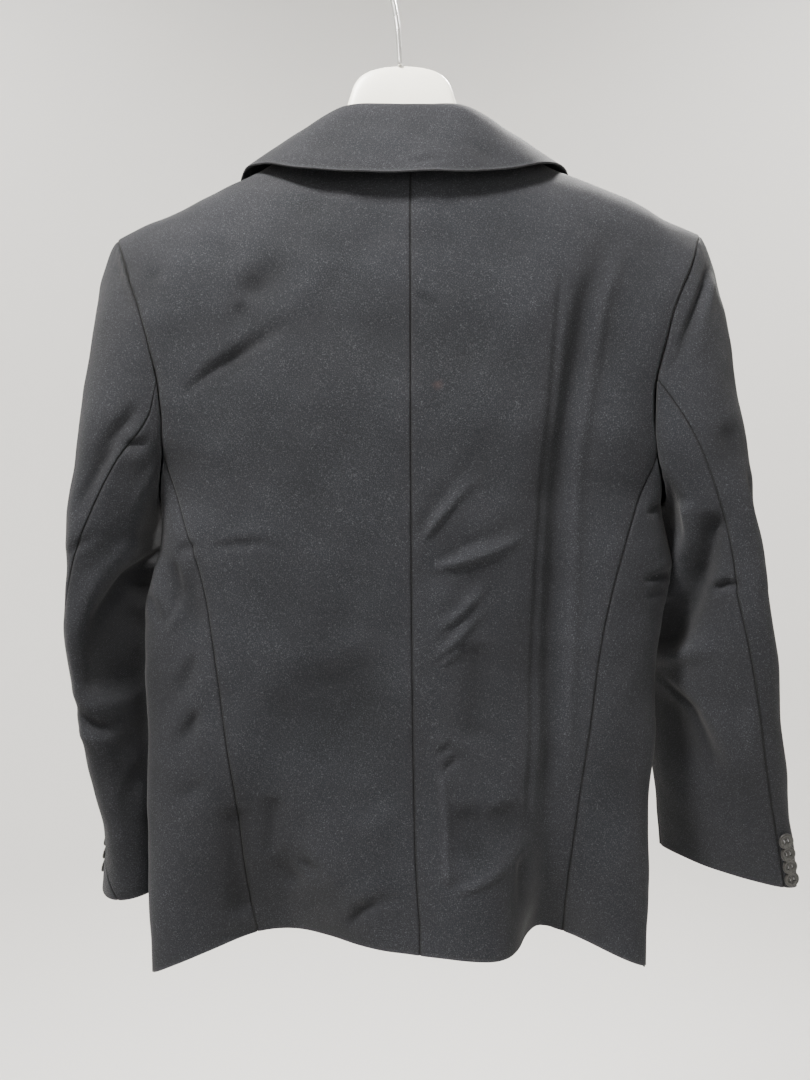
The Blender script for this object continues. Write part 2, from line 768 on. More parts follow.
# %% Lines of the collar and the lapels
# Stations run from the middle of the back (0) over the shoulder, where the back ends and the
# front begins, to the end of the gorge (1).
GORGE_ROW = 3
STATIONS = NECK_COLUMNS + GORGE_ROW
STAND_STEPS = 4
LEAF_STEPS = 7
FOLD_LINE = table(
    "t      x       y        z",
    (0.000, 0.000, 0.0310, -0.1660),
    (0.125, 0.019, 0.0305, -0.1658),
    (0.250, 0.037, 0.0285, -0.1650),
    (0.375, 0.054, 0.0235, -0.1660),
    (0.500, 0.070, 0.0130, -0.1685),
    (0.625, 0.0815, -0.0030, -0.1735),
    (0.750, 0.0805, -0.0300, -0.1910),
    (0.875, 0.0715, -0.0450, -0.2230),
    (1.000, 0.0575, -0.0480, -0.2660),
)
LEAF_EDGE = table(
    "t      x       z        off",
    (0.000, 0.000, -0.2370, 0.0150),
    (0.125, 0.030, -0.2355, 0.0150),
    (0.250, 0.060, -0.2325, 0.0150),
    (0.375, 0.093, -0.2262, 0.0140),
    (0.500, 0.122, -0.2140, 0.0140),
    (0.625, 0.1440, -0.2078, 0.0000),
    (0.750, 0.1530, -0.2310, 0.0070),
    (0.875, 0.1470, -0.2520, 0.0060),
    (1.000, 0.1340, -0.2680, 0.0060),
)
NOTCH_X = 0.1020
GORGE_STEPS = 4
GORGE_GAP = 0.0012
LAPEL_LINE = table(
    "t      x       drop",
    (0.000, 0.1420, 0.0360),
    (0.120, 0.1430, 0.0400),
    (0.350, 0.1290, 0.0420),
    (0.600, 0.0960, 0.0360),
    (0.850, 0.0480, 0.0200),
    (1.000, 0.0100, 0.0050),
)
LAPEL_LAST = {"left": 13, "right": 14}
ROLL_RADIUS = 0.003
ROLL_STEPS = 4
LAPEL_STEPS = 5
LAPEL_OFF = 0.0045
NECK_GAP = 0.0008
print("stations on each side:", STATIONS + 1)

# %% Where the stand starts
def neckline(side):
    """Where a stand starts, just off the neck edge, and the body's outward directions."""
    xs, zs = back_places(side)
    x = list(xs[0, : NECK_COLUMNS + 1])
    z = list(zs[0, : NECK_COLUMNS + 1])
    for row in range(1, GORGE_ROW + 1):
        edge_x, edge_z = front_edge(side, row)
        x.append(edge_x)
        z.append(edge_z)
    x, z = np.array(x), np.array(z)
    behind = np.arange(len(x)) <= NECK_COLUMNS
    edge, away = either_face(behind, x, z)
    way = unit(np.cross(np.gradient(edge, axis=0), away))
    inwards = way @ np.array([-SIDES[side], 0.0, 1.0])
    way = way * np.sign(inwards)[:, None]
    return edge - away * WALL + way * NECK_GAP, away


print("points along a neckline:", len(neckline("left")[0]))

# %% The collar's sections
def hermite(start, end, leave, arrive, t):
    """A curve between two points that leaves and arrives in given directions."""
    t = t[..., None]
    return (
        start * (1 + 2 * t) * (1 - t) ** 2
        + end * t * t * (3 - 2 * t)
        + leave * t * (1 - t) ** 2
        + arrive * t * t * (t - 1)
    )


def collar_station(side, index, base):
    """The collar's section at one station: its stand up to the fold, then its leaf."""
    sign = SIDES[side]
    t = index / STATIONS
    mirror = np.array([sign, 1.0, 1.0])
    fold = np.array([float(smooth(FOLD_LINE, axis, t)) for axis in "xyz"]) * mirror
    edge_x = sign * float(smooth(LEAF_EDGE, "x", t))
    edge_z = float(smooth(LEAF_EDGE, "z", t))
    off = float(smooth(LEAF_EDGE, "off", t))
    face = "back" if index <= NECK_COLUMNS else "front"
    edge_y = float(body_y(np.array(edge_x), np.array(edge_z), face))
    edge = np.array([edge_x, edge_y + (off if face == "back" else -off), edge_z])
    outward = unit(edge - fold) * np.array([1.0, 1.0, 0.0])
    share = np.linspace(0, 1, STAND_STEPS + 1)
    stand = hermite(base, fold, (fold - base) * 1.1, outward * 0.010, share)
    share = np.linspace(0, 1, LEAF_STEPS + 1)
    reach = np.linalg.norm(edge - fold)
    fall = unit(edge - fold - outward * reach * 0.35)
    straight = float(softstep(1.3 - abs(t - 0.625) / 0.25)) * 0.8
    leave = outward * (1 - straight) + unit(edge - fold) * straight
    fall = fall * (1 - straight) + unit(edge - fold) * straight
    leaf = hermite(fold, edge, leave * reach * 0.55, fall * reach, share)
    return np.concatenate([stand, leaf[1:]])


print("points of a section:", STAND_STEPS + LEAF_STEPS + 1)

# %% One line of a lapel
def lapel_row(side, row):
    """One line of a lapel: from the edge of the front, round the roll and out to its edge."""
    sign = SIDES[side]
    t = (row - GORGE_ROW) / (LAPEL_LAST[side] - GORGE_ROW)
    in_x, in_z = front_edge(side, row)
    out_x = sign * max(float(smooth(LAPEL_LINE, "x", t)), sign * in_x + 0.012)
    out_z = in_z - float(smooth(LAPEL_LINE, "drop", t))
    share = np.linspace(0, 1, LAPEL_STEPS + 1)
    x, z = blend(in_x, out_x, share), blend(in_z, out_z, share)
    flat = on_face(side, x, z, "front")
    away = body_normal(x, z, "front")
    open_way = unit(flat[0] - flat[1])
    open_way = unit(open_way - away[0] * (open_way @ away[0]))
    angle = np.linspace(0, math.pi, ROLL_STEPS + 1)[:, None]
    turned = -away[0] * np.cos(angle) + open_way * np.sin(angle)
    rolled = flat[0] + away[0] * ROLL_RADIUS + turned * (ROLL_RADIUS + WALL)
    off = blend(2 * ROLL_RADIUS + WALL, LAPEL_OFF, softstep(share * 1.2))
    points = np.concatenate([rolled, (flat + away * off[:, None])[1:]])
    return points, np.concatenate([turned, away[1:]])


print("points of a lapel's row:", len(lapel_row("left", GORGE_ROW)[0]))

# %% The collar, joined at the gorge
def gorge_end(side):
    """The collar's end: round the roll, along the gorge to the notch, then up its own end."""
    row, away = lapel_row(side, GORGE_ROW)
    tip = abs(row[-1, 0]) - abs(row[ROLL_STEPS, 0])
    notch = (NOTCH_X - abs(row[ROLL_STEPS, 0])) / tip
    along = np.concatenate([[0.0], np.linspace(0, notch, GORGE_STEPS + 1)[1:]]) * LAPEL_STEPS
    places = np.arange(LAPEL_STEPS + 1)
    seam = np.stack([np.interp(along, places, row[ROLL_STEPS:, k]) for k in range(3)], axis=-1)
    turned = np.stack([np.interp(along, places, away[ROLL_STEPS:, k]) for k in range(3)], -1)
    share = np.linspace(0, 1, LEAF_STEPS - GORGE_STEPS + 1)[1:]
    corner = SIDES[side] * float(LEAF_EDGE["x"][-1])
    x = blend(seam[-1, 0], corner, share)
    z = blend(seam[-1, 2], float(LEAF_EDGE["z"][-1]), share)
    off = blend(LAPEL_OFF, float(LEAF_EDGE["off"][-1]), share)
    end = np.stack([x, body_y(x, z, "front") - off, z], axis=-1)
    points = np.concatenate([row[:ROLL_STEPS], seam, end])
    normals = np.concatenate([away[:ROLL_STEPS], turned, body_normal(x, z, "front")])
    return points + np.array([0.0, 0.0, GORGE_GAP]), normals


def collar():
    """Points and outward directions of the whole collar, from its left end to its right."""
    lines = []
    aways = []
    ends = []
    for side in SIDES:
        base, away = neckline(side)
        end, end_away = gorge_end(side)
        sections = [collar_station(side, i, base[i]) for i in range(STATIONS)] + [end]
        lines += sections[::-1] if side == "left" else sections[1:]
        aways += list(away[::-1]) if side == "left" else list(away[1:])
        ends.append(end_away)
    points = np.array(lines)
    normals = unit(np.cross(np.gradient(points, axis=1), np.gradient(points, axis=0)))
    normals[:, 0] = -np.array(aways)
    normals[0], normals[-1] = ends
    return points, normals


print("collar:", collar()[0].shape)

# %% [markdown]
# ## From a few points to fine cloth
#
# The solids need only a few hundred points each. For the picture, the same grids are read
# far more finely, with a smooth curve through every row and column. The finest steps lie
# next to the edges, where the cloth turns over or dips into a seam.

# %% Finer rows and columns
EDGE_STEPS = (0.02, 0.06, 0.12, 0.25)


def fine_steps(count, times):
    """Fractional places along a row of `count` points, closer together at both ends."""
    inner = np.linspace(0, count - 1, (count - 1) * times + 1)
    ends = np.array(EDGE_STEPS)
    return np.unique(np.round(np.concatenate([inner, ends, count - 1 - ends]), 6))


def through(grid, at):
    """A smooth curve through the first axis of a grid, read at fractional places."""
    count = len(grid)
    i = np.clip(np.floor(at).astype(int), 0, count - 2)
    t = (at - i).reshape((-1,) + (1,) * (grid.ndim - 1))
    before = np.where(i.reshape(t.shape) > 0, grid[i - 1], 2 * grid[0] - grid[1])
    after_next = np.minimum(i + 2, count - 1)
    after = np.where(
        i.reshape(t.shape) + 2 < count, grid[after_next], 2 * grid[-1] - grid[-2]
    )
    a, b = grid[i], grid[i + 1]
    return 0.5 * (
        2 * a
        + (b - before) * t
        + (2 * before - 5 * a + 4 * b - after) * t**2
        + (3 * a - before - 3 * b + after) * t**3
    )


def finer(grid, rows, columns):
    """Both ways. The two axes of a grid swap for the second."""
    once = through(grid, rows)
    return np.swapaxes(through(np.swapaxes(once, 0, 1), columns), 0, 1)


print("steps for three points:", fine_steps(3, 4))

# %% Directions and flat panels
def turn_out(points, like):
    """Directions across a sheet from its own fine points, on the side that `like` faces."""
    square = unit(np.cross(np.gradient(points, axis=0), np.gradient(points, axis=1)))
    return square * np.sign((square * like).sum(axis=-1, keepdims=True))


def fine_body(side, face, times):
    """A half of the back or a front, as points and outward directions."""
    xs, zs = places(side, face)
    rows = fine_steps(xs.shape[0], times[0])
    columns = fine_steps(xs.shape[1], times[1])
    xs, zs = finer(xs, rows, columns), finer(zs, rows, columns)
    return on_face(side, xs, zs, face), body_normal(xs, zs, face)


def fine_side(side, times=(9, 9)):
    """A side panel between the edges of the fine back and front."""
    rows = fine_steps(len(LEVELS), times[0])
    turns = fine_steps(SIDE_COLUMNS + 1, times[1]) / SIDE_COLUMNS
    row, turn = np.meshgrid(rows, turns, indexing="ij")
    points = side_point(side, turn, row)
    normals = side_out(side, turn, row)
    for face, share, own in (("back", 1 - turn, 0), ("front", turn, -1)):
        xs, zs = places(side, face)
        x = through(xs[:, -1], ARMHOLE_ROWS + rows)
        z = through(zs[:, -1], ARMHOLE_ROWS + rows)
        seam = on_face(side, x, z, face)
        near = softstep(share * 4 - 3)[..., None]
        points = points + (seam - points[:, own])[:, None] * near
        normals = unit(normals * (1 - near) + body_normal(x, z, face)[:, None] * near)
    return points, normals


print("a fine side panel:", fine_side("left")[0].shape)

# %% The armhole as one closed line
ARMHOLE_STEPS = 480
EVEN_REACH = 14


def evened(values, reach):
    """Each value averaged with its neighbours round a closed line."""
    return np.mean([np.roll(values, k, axis=0) for k in range(-reach, reach + 1)], axis=0)


def armhole_line(side):
    """Where the cloth of a sleeve starts round the armhole, and which way it leaves."""
    share = np.arange(ARMHOLE_STEPS) / ARMHOLE_STEPS
    start, body_out = armhole_point(side, share)
    ahead, _ = armhole_point(side, share + 1e-3)
    behind, _ = armhole_point(side, share - 1e-3)
    away = unit(np.cross(ahead - behind, body_out)) * SIDES[side]
    low = ((1 - np.cos(2 * math.pi * share)) / 2)[..., None]
    bend = np.radians(-24 * (1 - low) ** 2 + 118 * low**3)
    leave = unit(evened(away * np.cos(bend) + body_out * np.sin(bend), EVEN_REACH))
    line = np.concatenate([start + leave * SEAM_LIFT, leave], axis=1)
    return np.concatenate([line, line[:1]])


ARMHOLE_LINES = {side: armhole_line(side) for side in SIDES}
print("points on an armhole line:", len(ARMHOLE_LINES["left"]))

# %% Fine sleeves
def sleeve_grid(side, share, row):
    """Points of a sleeve's outer face, with rows counted down from the armhole."""
    at = (share % 1.0) * ARMHOLE_STEPS
    i = np.minimum(np.floor(at).astype(int), ARMHOLE_STEPS - 1)
    line = ARMHOLE_LINES[side]
    found = blend(line[i], line[i + 1], (at - i)[..., None])
    start, leave = found[..., :3], found[..., 3:]
    low = ((1 - np.cos(2 * math.pi * share)) / 2)[..., None]
    end = sleeve_section(side, share, BICEP_Z)
    below = sleeve_section(side, share, BICEP_Z - 0.01)
    run = np.linalg.norm(end - start, axis=-1, keepdims=True)
    arrive = unit((below - end) * np.array([0.3, 0.3, 1.0]))
    swell = blend(HEAD_SWELL[side], FLOOR_SWELL, low**2)
    t = np.clip(row / CAP_ROWS, 0, 1)
    cap = hermite(start, end, leave * run * swell, arrive * run * 0.95, t)
    t = np.clip((row - CAP_ROWS) / ARM_ROWS, 0, 1)
    cuff = CUFF_Z[side] + CUFF_RISE * (1 - np.sin(2 * math.pi * share)) / 2
    arm = sleeve_section(side, share, blend(BICEP_Z, cuff, t))
    return np.where((row <= CAP_ROWS)[..., None], cap, arm)


def sleeve_out(side, share, row):
    """The direction outwards at the same places."""
    step = 1e-3
    last = CAP_ROWS + ARM_ROWS
    along = sleeve_grid(side, share + step, row) - sleeve_grid(side, share - step, row)
    above = sleeve_grid(side, share, np.maximum(row - step, 0))
    below = sleeve_grid(side, share, np.minimum(row + step, last))
    return unit(np.cross(below - above, along)) * SIDES[side]


def fine_sleeve(side, part, times=(8, 6)):
    """The top sleeve over the outside of the arm, or the under sleeve next to the body."""
    shares = armhole_shares()
    count = len(shares) - 1
    if part == "top":
        top = np.concatenate([shares[count - FORE_START : count] - 1, shares[: HIND_START + 1]])
    else:
        top = shares[HIND_START : count - FORE_START + 1]
    steps = fine_steps(len(top), times[1])
    spread = (np.interp(steps, np.arange(len(top)), top) - top[0]) / (top[-1] - top[0])
    rows = fine_steps(CAP_ROWS + ARM_ROWS + 1, times[0])
    hind, fore = np.array([seam_shares(side, row) for row in rows]).T
    start, end = (fore - 1, hind) if part == "top" else (hind, fore)
    share = start[:, None] + (end - start)[:, None] * spread
    row = np.repeat(rows[:, None], len(spread), axis=1)
    return sleeve_grid(side, share, row), sleeve_out(side, share, row)


print("a fine top sleeve:", fine_sleeve("left", "top")[0].shape)

# %% Lapels, and every panel in one place
def fine_sheet(points, normals, times=(6, 6)):
    rows = fine_steps(points.shape[0], times[0])
    columns = fine_steps(points.shape[1], times[1])
    smooth_points = finer(points, rows, columns)
    return smooth_points, turn_out(smooth_points, finer(normals, rows, columns))


def lapel_grid(side):
    """A lapel's rows, with the outer edge evened out from row to row."""
    rows = [lapel_row(side, row) for row in range(GORGE_ROW, LAPEL_LAST[side] + 1)]
    points, away = (np.array([row[k] for row in rows]) for k in (0, 1))
    outer = np.clip((np.arange(points.shape[1]) - ROLL_STEPS) / 4, 0, 1)[:, None]
    for _ in range(3):
        between = (points[:-2] + 2 * points[1:-1] + points[2:]) / 4
        points[1:-1] += (between - points[1:-1]) * outer
    return points, away


panels = {}
for side in SIDES:
    panels[f"back_{side}"] = fine_body(side, "back", (10, 8))
    panels[f"front_{side}"] = fine_body(side, "front", (8, 8))
    panels[f"side_{side}"] = fine_side(side)
    for part in ("top", "under"):
        panels[f"{part}_sleeve_{side}"] = fine_sleeve(side, part)
    panels[f"lapel_{side}"] = fine_sheet(*lapel_grid(side))
panels["collar"] = fine_sheet(*collar())
for name, (points, _) in panels.items():
    print(f"{name}: {points.shape[0]} rows, {points.shape[1]} columns")

# %% [markdown]
# ## Creases, one by one
#
# Wool that has been worn keeps creases at the elbow, under the arm and over the seat, each
# with a soft side and a steeper one. Noise alone would look like crumpled paper. So every
# crease that can be seen is a short path with a width and a depth, and the cloth moves
# along its own outward direction near it. Low, wide waves fill in between them.
#
# A path is read as seen from behind (or from the front for the front's own): places across
# and heights in millimetres. A depth below zero is a hollow, above zero a ridge. "lip" is
# how much steeper one side is than the other. Most are sharp early on and fade away wide,
# and an even one keeps its width.

# %% Keeping creases
BACK, FRONT = 1.0, -1.0
EVEN = "even"
DEEPER = 1.25
CREASES = {"body": [], "sleeve_left": [], "sleeve_right": [], "collar": [], "lapel": []}


def creases(where, face, *rows):
    """Each row: width, depth, lip, the path's points, and EVEN where it keeps its width."""
    for width, depth, lip, *path in rows:
        even = path[-1] == EVEN
        points = np.array(path[:-1] if even else path, float) / 1000
        CREASES[where].append((face, width / 1000, DEEPER * depth / 1000, lip, even, points))


print("kept for:", sorted(CREASES))

# %% Creases of the back
creases(
    "body", BACK,
    (5, -2.0, 0.6, (187, -421), (158, -397), (133, -383), (104, -365), (73, -344)),
    (11, -1.6, 0, (156, -405), (128, -387), (95, -370)),
    (13, -2.4, 0, (136, -339), (118, -326), (102, -314), (87, -294)),
    (7, -1.3, 0, (135, -342), (135, -365)),
    (10, -1.6, 0, (211, -307), (209, -354)),
    (4, -1.4, 0.6, (165, -546), (142, -541), (116, -540), (93, -550)),
    (5, 2.2, 0.7, (-12, -542), (-26, -522), (-44, -501), (-70, -476)),
    (5, 2.8, 0.8, (-18, -563), (-41, -557), (-70, -549), (-91, -539), (-112, -524)),
    (4, 1.6, 0.6, (-41, -550), (-62, -544), (-83, -541)),
    (5, 2.2, 0.7, (-27, -611), (-44, -601), (-62, -582), (-75, -567)),
    (5, 2.2, 0.7, (-23, -638), (-44, -620), (-62, -600), (-72, -585)),
    (4, 1.4, 0.6, (-29, -643), (-44, -630), (-54, -620)),
    (4, -2.0, 0.7, (-25, -716), (-37, -710), (-50, -712)),
    (4, -2.2, 0.7, (-31, -729), (-42, -719), (-54, -715)),
    (12, -2.2, 0, (-60, -620), (-60, -669), (-54, -710), EVEN),
    (4, 2.4, 0, (-31, -731), (-34, -768), (-35, -822), EVEN),
    (15, -4.2, 0, (-50, -752), (-52, -781), (-54, -811), EVEN),
    (17, -4.0, 0, (-78, -752), (-85, -777), (-88, -798)),
    (5, 2.2, 0.5, (-36, -826), (-66, -815), (-100, -793)),
    (5, -2.6, 0.3, (-96, -795), (-97, -822), (-97, -849)),
    (8, -2.6, 0,
      (-163, -297), (-148, -339), (-136, -406), (-128, -462), (-125, -517), (-122, -636), (-121, -752),
      (-116, -783), EVEN),
    (6, 1.6, 0,
      (-183, -290), (-165, -339), (-154, -406), (-145, -462), (-143, -517), (-140, -636), (-137, -752),
      EVEN),
    (3.5, -1.2, 0.4,
      (-129, -301), (-122, -397), (-115, -480), (-111, -544), (-108, -628), (-105, -719), (-100, -793),
      EVEN),
    (5, -1.0, 0.5, (-7, -335), (-19, -344), (-29, -352)),
    (42, -3.4, 0, (62, -628), (50, -694), (45, -744)),
    (14, 2.2, 0, (-2, -752), (29, -775), (58, -801)),
    (6, -2.6, 0.6, (50, -863), (36, -846), (21, -836), (-7, -830)),
    (6, -1.8, 0.5, (92, -806), (82, -813), (67, -824)),
    (7, -1.8, 0, (111, -752), (113, -777), (116, -808), EVEN),
    (13, -2.4, 0, (87, -834), (103, -818), (107, -793)),
    (11, -3.4, 0, (146, -761), (142, -805), (139, -866), EVEN),
    (10, 3.0, 0.3, (210, -547), (218, -587), (209, -620)),
    (6, -3.0, 0.4, (198, -551), (192, -582), (201, -620)),
    (8, -2.6, 0, (182, -559), (178, -597), (175, -641)),
    (5, -2.0, 0.5, (173, -541), (186, -544), (198, -551)),
    (7, -3.0, 0.6, (173, -678), (184, -698), (198, -715)),
    (8, -2.2, 0.4, (175, -632), (186, -658), (205, -675)),
    (8, -1.6, 0.4, (164, -736), (181, -748), (207, -761)),
    (4, -2.2, 0.6, (-205, -515), (-217, -509), (-230, -504)),
    (4, -3.0, 0.8, (-203, -572), (-222, -568), (-246, -564)),
    (4, -1.8, 0.6, (-206, -586), (-220, -580), (-236, -577)),
    (9, -2.0, 0, (-224, -485), (-234, -528), (-234, -589)),
    (6, -2.5, 0.5, (221, -581), (212, -602), (202, -615)),
    (5, 2.0, 0.3, (200, -617), (193, -599), (189, -578)),
)
print("on the back and sides:", len(CREASES["body"]))

# %% Creases of the sleeves, seen from behind
creases(
    "sleeve_left", BACK,
    (7, -3.2, 0.5, (217, -423), (239, -449), (255, -472), (262, -496)),
    (5, -2.2, 0.6, (211, -454), (225, -458), (239, -462)),
    (4, -1.6, 0.5, (281, -551), (265, -540), (248, -530)),
    (9, 3.4, 0.3, (215, -527), (236, -544), (253, -570), (266, -599), (272, -632)),
    (17, -7.5, 0, (220, -559), (239, -594), (248, -632), (249, -675), EVEN),
    (6, -3.2, 0.4, (272, -679), (258, -691), (237, -698)),
    (7, 2.2, 0, (274, -694), (256, -706), (236, -711)),
    (6, -1.6, 0.4, (289, -666), (277, -677), (265, -680)),
    (8, -2.0, 0, (229, -727), (236, -761), (234, -813)),
    (6, -4.0, 0.7, (210, -534), (226, -554), (243, -578), (256, -604), (262, -638)),
    (6, -2.8, 0.5, (236, -455), (252, -478), (264, -502), (276, -530)),
)
creases(
    "sleeve_right", BACK,
    (4, -2.8, 0.6, (-222, -500), (-231, -528), (-233, -554), (-225, -588)),
    (5, -3.0, 0.7, (-232, -658), (-254, -688), (-271, -729), (-281, -762)),
    (5, -2.8, 0.7, (-259, -300), (-248, -329), (-234, -363), (-220, -406)),
    (6, 2.0, 0, (-265, -306), (-254, -333), (-241, -367)),
    (14, -3.6, 0, (-265, -435), (-271, -465), (-270, -503)),
    (5, -2.6, 0.5, (-283, -477), (-292, -507), (-297, -537)),
    (7, 3.0, 0, (-234, -503), (-241, -544), (-237, -597), EVEN),
    (8, -6.5, 0.2, (-256, -513), (-251, -563), (-242, -609), (-236, -641), EVEN),
    (4, -3.2, 0.6, (-258, -580), (-268, -574), (-280, -578)),
    (4, -1.2, 0.5, (-299, -580), (-292, -578), (-285, -576)),
    (9, 3.6, 0.3, (-227, -654), (-239, -642), (-254, -632), (-273, -624)),
    (13, -4.2, 0, (-231, -668), (-249, -699), (-266, -737), (-278, -765)),
    (4, -1.8, 0.5, (-218, -697), (-227, -733), (-239, -768), (-256, -792)),
    (6, 1.8, 0, (-289, -665), (-295, -707), (-300, -750)),
)
print("on the sleeves:", len(CREASES["sleeve_left"]), len(CREASES["sleeve_right"]))

# %% Creases of the front, the collar and the lapels
creases(
    "collar", BACK,
    (3, -1.0, 0.5, (-4, -230), (-19, -226), (-32, -227)),
    (12, -0.7, 0, (85, -220), (61, -202), (45, -191)),
    (10, -0.6, 0, (-77, -224), (-61, -207), (-45, -194)),
)
creases(
    "body", FRONT,
    (10, -2.2, 0.4, (20, -612), (66, -590), (120, -562)),
    (9, -2.0, 0.4, (-26, -612), (-70, -586), (-112, -552)),
    (16, -3.0, 0, (100, -660), (106, -770), (110, -880)),
    (14, -2.5, 0, (-92, -680), (-97, -780), (-100, -890)),
    (9, -2.5, 0.4, (170, -420), (152, -462), (130, -500)),
    (9, -2.5, 0.4, (-172, -416), (-150, -455), (-134, -496)),
    (7, -1.6, 0.4, (150, -300), (170, -345), (184, -395)),
    (7, -1.6, 0.4, (-148, -305), (-168, -350), (-186, -400)),
)
creases(
    "sleeve_left", FRONT,
    (8, -2.6, 0.4, (212, -560), (240, -580), (262, -588)),
    (9, -3.0, 0.4, (218, -640), (240, -655), (266, -650)),
    (6, -2.0, 0.5, (222, -690), (246, -684), (262, -694)),
    (8, -2.0, 0, (250, -420), (262, -480), (264, -540)),
)
creases(
    "sleeve_right", FRONT,
    (8, -2.6, 0.4, (-226, -556), (-250, -580), (-280, -588)),
    (9, -3.0, 0.4, (-232, -640), (-262, -660), (-290, -654)),
    (6, -2.0, 0.5, (-240, -700), (-262, -692), (-284, -704)),
    (8, -2.0, 0, (-256, -420), (-272, -480), (-276, -540)),
)
creases(
    "lapel", FRONT,
    (6, -0.8, 0.4, (70, -330), (92, -350), (104, -380)),
    (7, -0.8, 0, (-60, -400), (-80, -380), (-100, -372)),
)
print("creases:", {where: len(found) for where, found in CREASES.items()})

# %% [markdown]
# ## How a crease moves the cloth
#
# For every point of a panel the nearest place on a crease's path is found. A bell curve
# across the path gives the push, and it fades towards both ends. Low sine waves are the
# same function of place on every panel, so that two panels stay together along their seam.

# %% The push of one crease
def crease_depth(points, width, depth, lip, even, path):
    """The push of one crease at points across and up."""
    x, z = points[..., 0], points[..., 2]
    nearest = np.full(x.shape, 1e9)
    off = np.zeros(x.shape)
    share = np.zeros(x.shape)
    lengths = np.linalg.norm(np.diff(path, axis=0), axis=1)
    done = np.concatenate([[0.0], np.cumsum(lengths)])
    for start, end, length, before in zip(path, path[1:], lengths, done):
        way = (end - start) / length
        along = np.clip((x - start[0]) * way[0] + (z - start[1]) * way[1], 0, length)
        dx = x - start[0] - way[0] * along
        dz = z - start[1] - way[1] * along
        gap = np.hypot(dx, dz)
        closer = gap < nearest
        nearest = np.where(closer, gap, nearest)
        off = np.where(closer, way[0] * dz - way[1] * dx, off)
        share = np.where(closer, (before + along) / done[-1], share)
    beyond = np.sqrt(np.maximum(nearest**2 - off**2, 0))
    wide = width * (1 if even else 0.65 + 0.85 * share)
    least = 1.3 * width / done[-1]
    early, late = (max(0.12, least),) * 2 if even else (0.30, 0.60)
    end_fade = softstep(share / early + 0.1) * softstep((1 - share) / late)
    steep = np.where(off > 0, wide * (1 - 0.6 * lip), wide)
    push = np.exp(-((off / steep) ** 2))
    swell = np.exp(-(((off + 2.0 * wide) / (1.3 * wide)) ** 2))
    return depth * end_fade * (push - 0.40 * lip * swell) * np.exp(-((beyond / wide) ** 2))


tried = np.array([[0.0, 0.0, 0.0]])
straight = np.array([[-0.02, 0.0], [0.02, 0.0]])
print("push on a path:", crease_depth(tried, 0.005, -0.002, 0.0, True, straight))

# %% Waves, and everything together
def waves(points, lengths, height, seed, count=14):
    """Low waves in many directions, the same on both sides of a seam."""
    rng = np.random.default_rng(seed)
    total = np.zeros(points.shape[:-1])
    for _ in range(count):
        way = unit(rng.normal(size=3) * np.array([1.0, 0.5, 0.7]))
        length = rng.uniform(*lengths)
        total += np.sin(points @ way * (2 * math.pi / length) + rng.uniform(0, 2 * math.pi))
    return total * height / math.sqrt(count / 2)


def relief(points, normals, where):
    """Everything that moves a panel along its outward direction."""
    total = np.zeros(points.shape[:-1])
    for face, *shape in CREASES[where]:
        facing = softstep((normals[..., 1] * face - 0.02) / 0.30)
        total += facing * crease_depth(points, *shape)
    long_waves = waves(points, (0.05, 0.16), 0.00080, 7)
    return total + long_waves + waves(points, (0.02, 0.05), 0.00016, 8)


print("creases and waves move one point by", relief(tried, np.array([[0.0, 1.0, 0.0]]), "body"))

# %% [markdown]
# ## Wool and lining
#
# The wool is woven from fibres dyed before spinning, so it is never one grey: pale fibres
# lie among dark ones. A node group gives its colour, its roughness and the height of its
# twill. It reads the cloth's own UV map, laid out in metres, and three values kept at every
# point: how near a free edge is, where wear makes it paler, how deep a hollow is, and how
# near a seam is, where dirt and shade gather.

# %% Groups and nodes
def new_group(name, inputs, outputs):
    """A shader node group with named inputs and outputs."""
    group = bpy.data.node_groups.new(name, "ShaderNodeTree")
    for direction, sockets in (("INPUT", inputs), ("OUTPUT", outputs)):
        for socket, kind in sockets:
            group.interface.new_socket(socket, in_out=direction, socket_type=f"NodeSocket{kind}")
    start = group.nodes.new("NodeGroupInput")
    end = group.nodes.new("NodeGroupOutput")
    return group, start, end


def add_node(tree, kind, settings=None, values=None, **links):
    """A node with settings, numbers for its sockets, and links by socket name."""
    node = tree.nodes.new(kind if "Node" in kind else f"ShaderNode{kind}")
    for key, value in (settings or {}).items():
        setattr(node, key, value)
    for key, value in (values or {}).items():
        node.inputs[key].default_value = value
    for key, source in links.items():
        tree.links.new(source, node.inputs[key.replace("_", " ")])
    return node


tried, start, end = new_group("tried", [("Place", "Vector")], [("Height", "Float")])
print("sockets of a group:", [item.name for item in tried.interface.items_tree])

# %% Small helpers for node trees
def noise(tree, place, scale=1.0, detail=2.0, **more):
    """The grey value of a noise texture."""
    values = {"Scale": scale, "Detail": detail, **more}
    return add_node(tree, "TexNoise", values=values, Vector=place).outputs["Fac"]


def scaled(tree, place, *scale):
    return add_node(tree, "Mapping", values={"Scale": scale}, Vector=place).outputs[0]


def far_from(tree, place, spot):
    """How far a place is from one spot."""
    node = add_node(tree, "VectorMath", {"operation": "DISTANCE"}, {1: spot})
    tree.links.new(place, node.inputs[0])
    return node.outputs["Value"]


def math_node(tree, operation, first, second):
    node = tree.nodes.new("ShaderNodeMath")
    node.operation = operation
    for socket, value in zip(node.inputs, (first, second)):
        if isinstance(value, (int, float)):
            socket.default_value = value
        else:
            tree.links.new(value, socket)
    return node.outputs[0]


def mix_colour(tree, share, first, second, blend="MIX"):
    node = tree.nodes.new("ShaderNodeMix")
    node.data_type = "RGBA"
    node.blend_type = blend
    for place, value in ((0, share), (6, first), (7, second)):
        socket = node.inputs[place]
        if isinstance(value, (int, float, tuple)):
            socket.default_value = value
        else:
            tree.links.new(value, socket)
    return node.outputs[2]


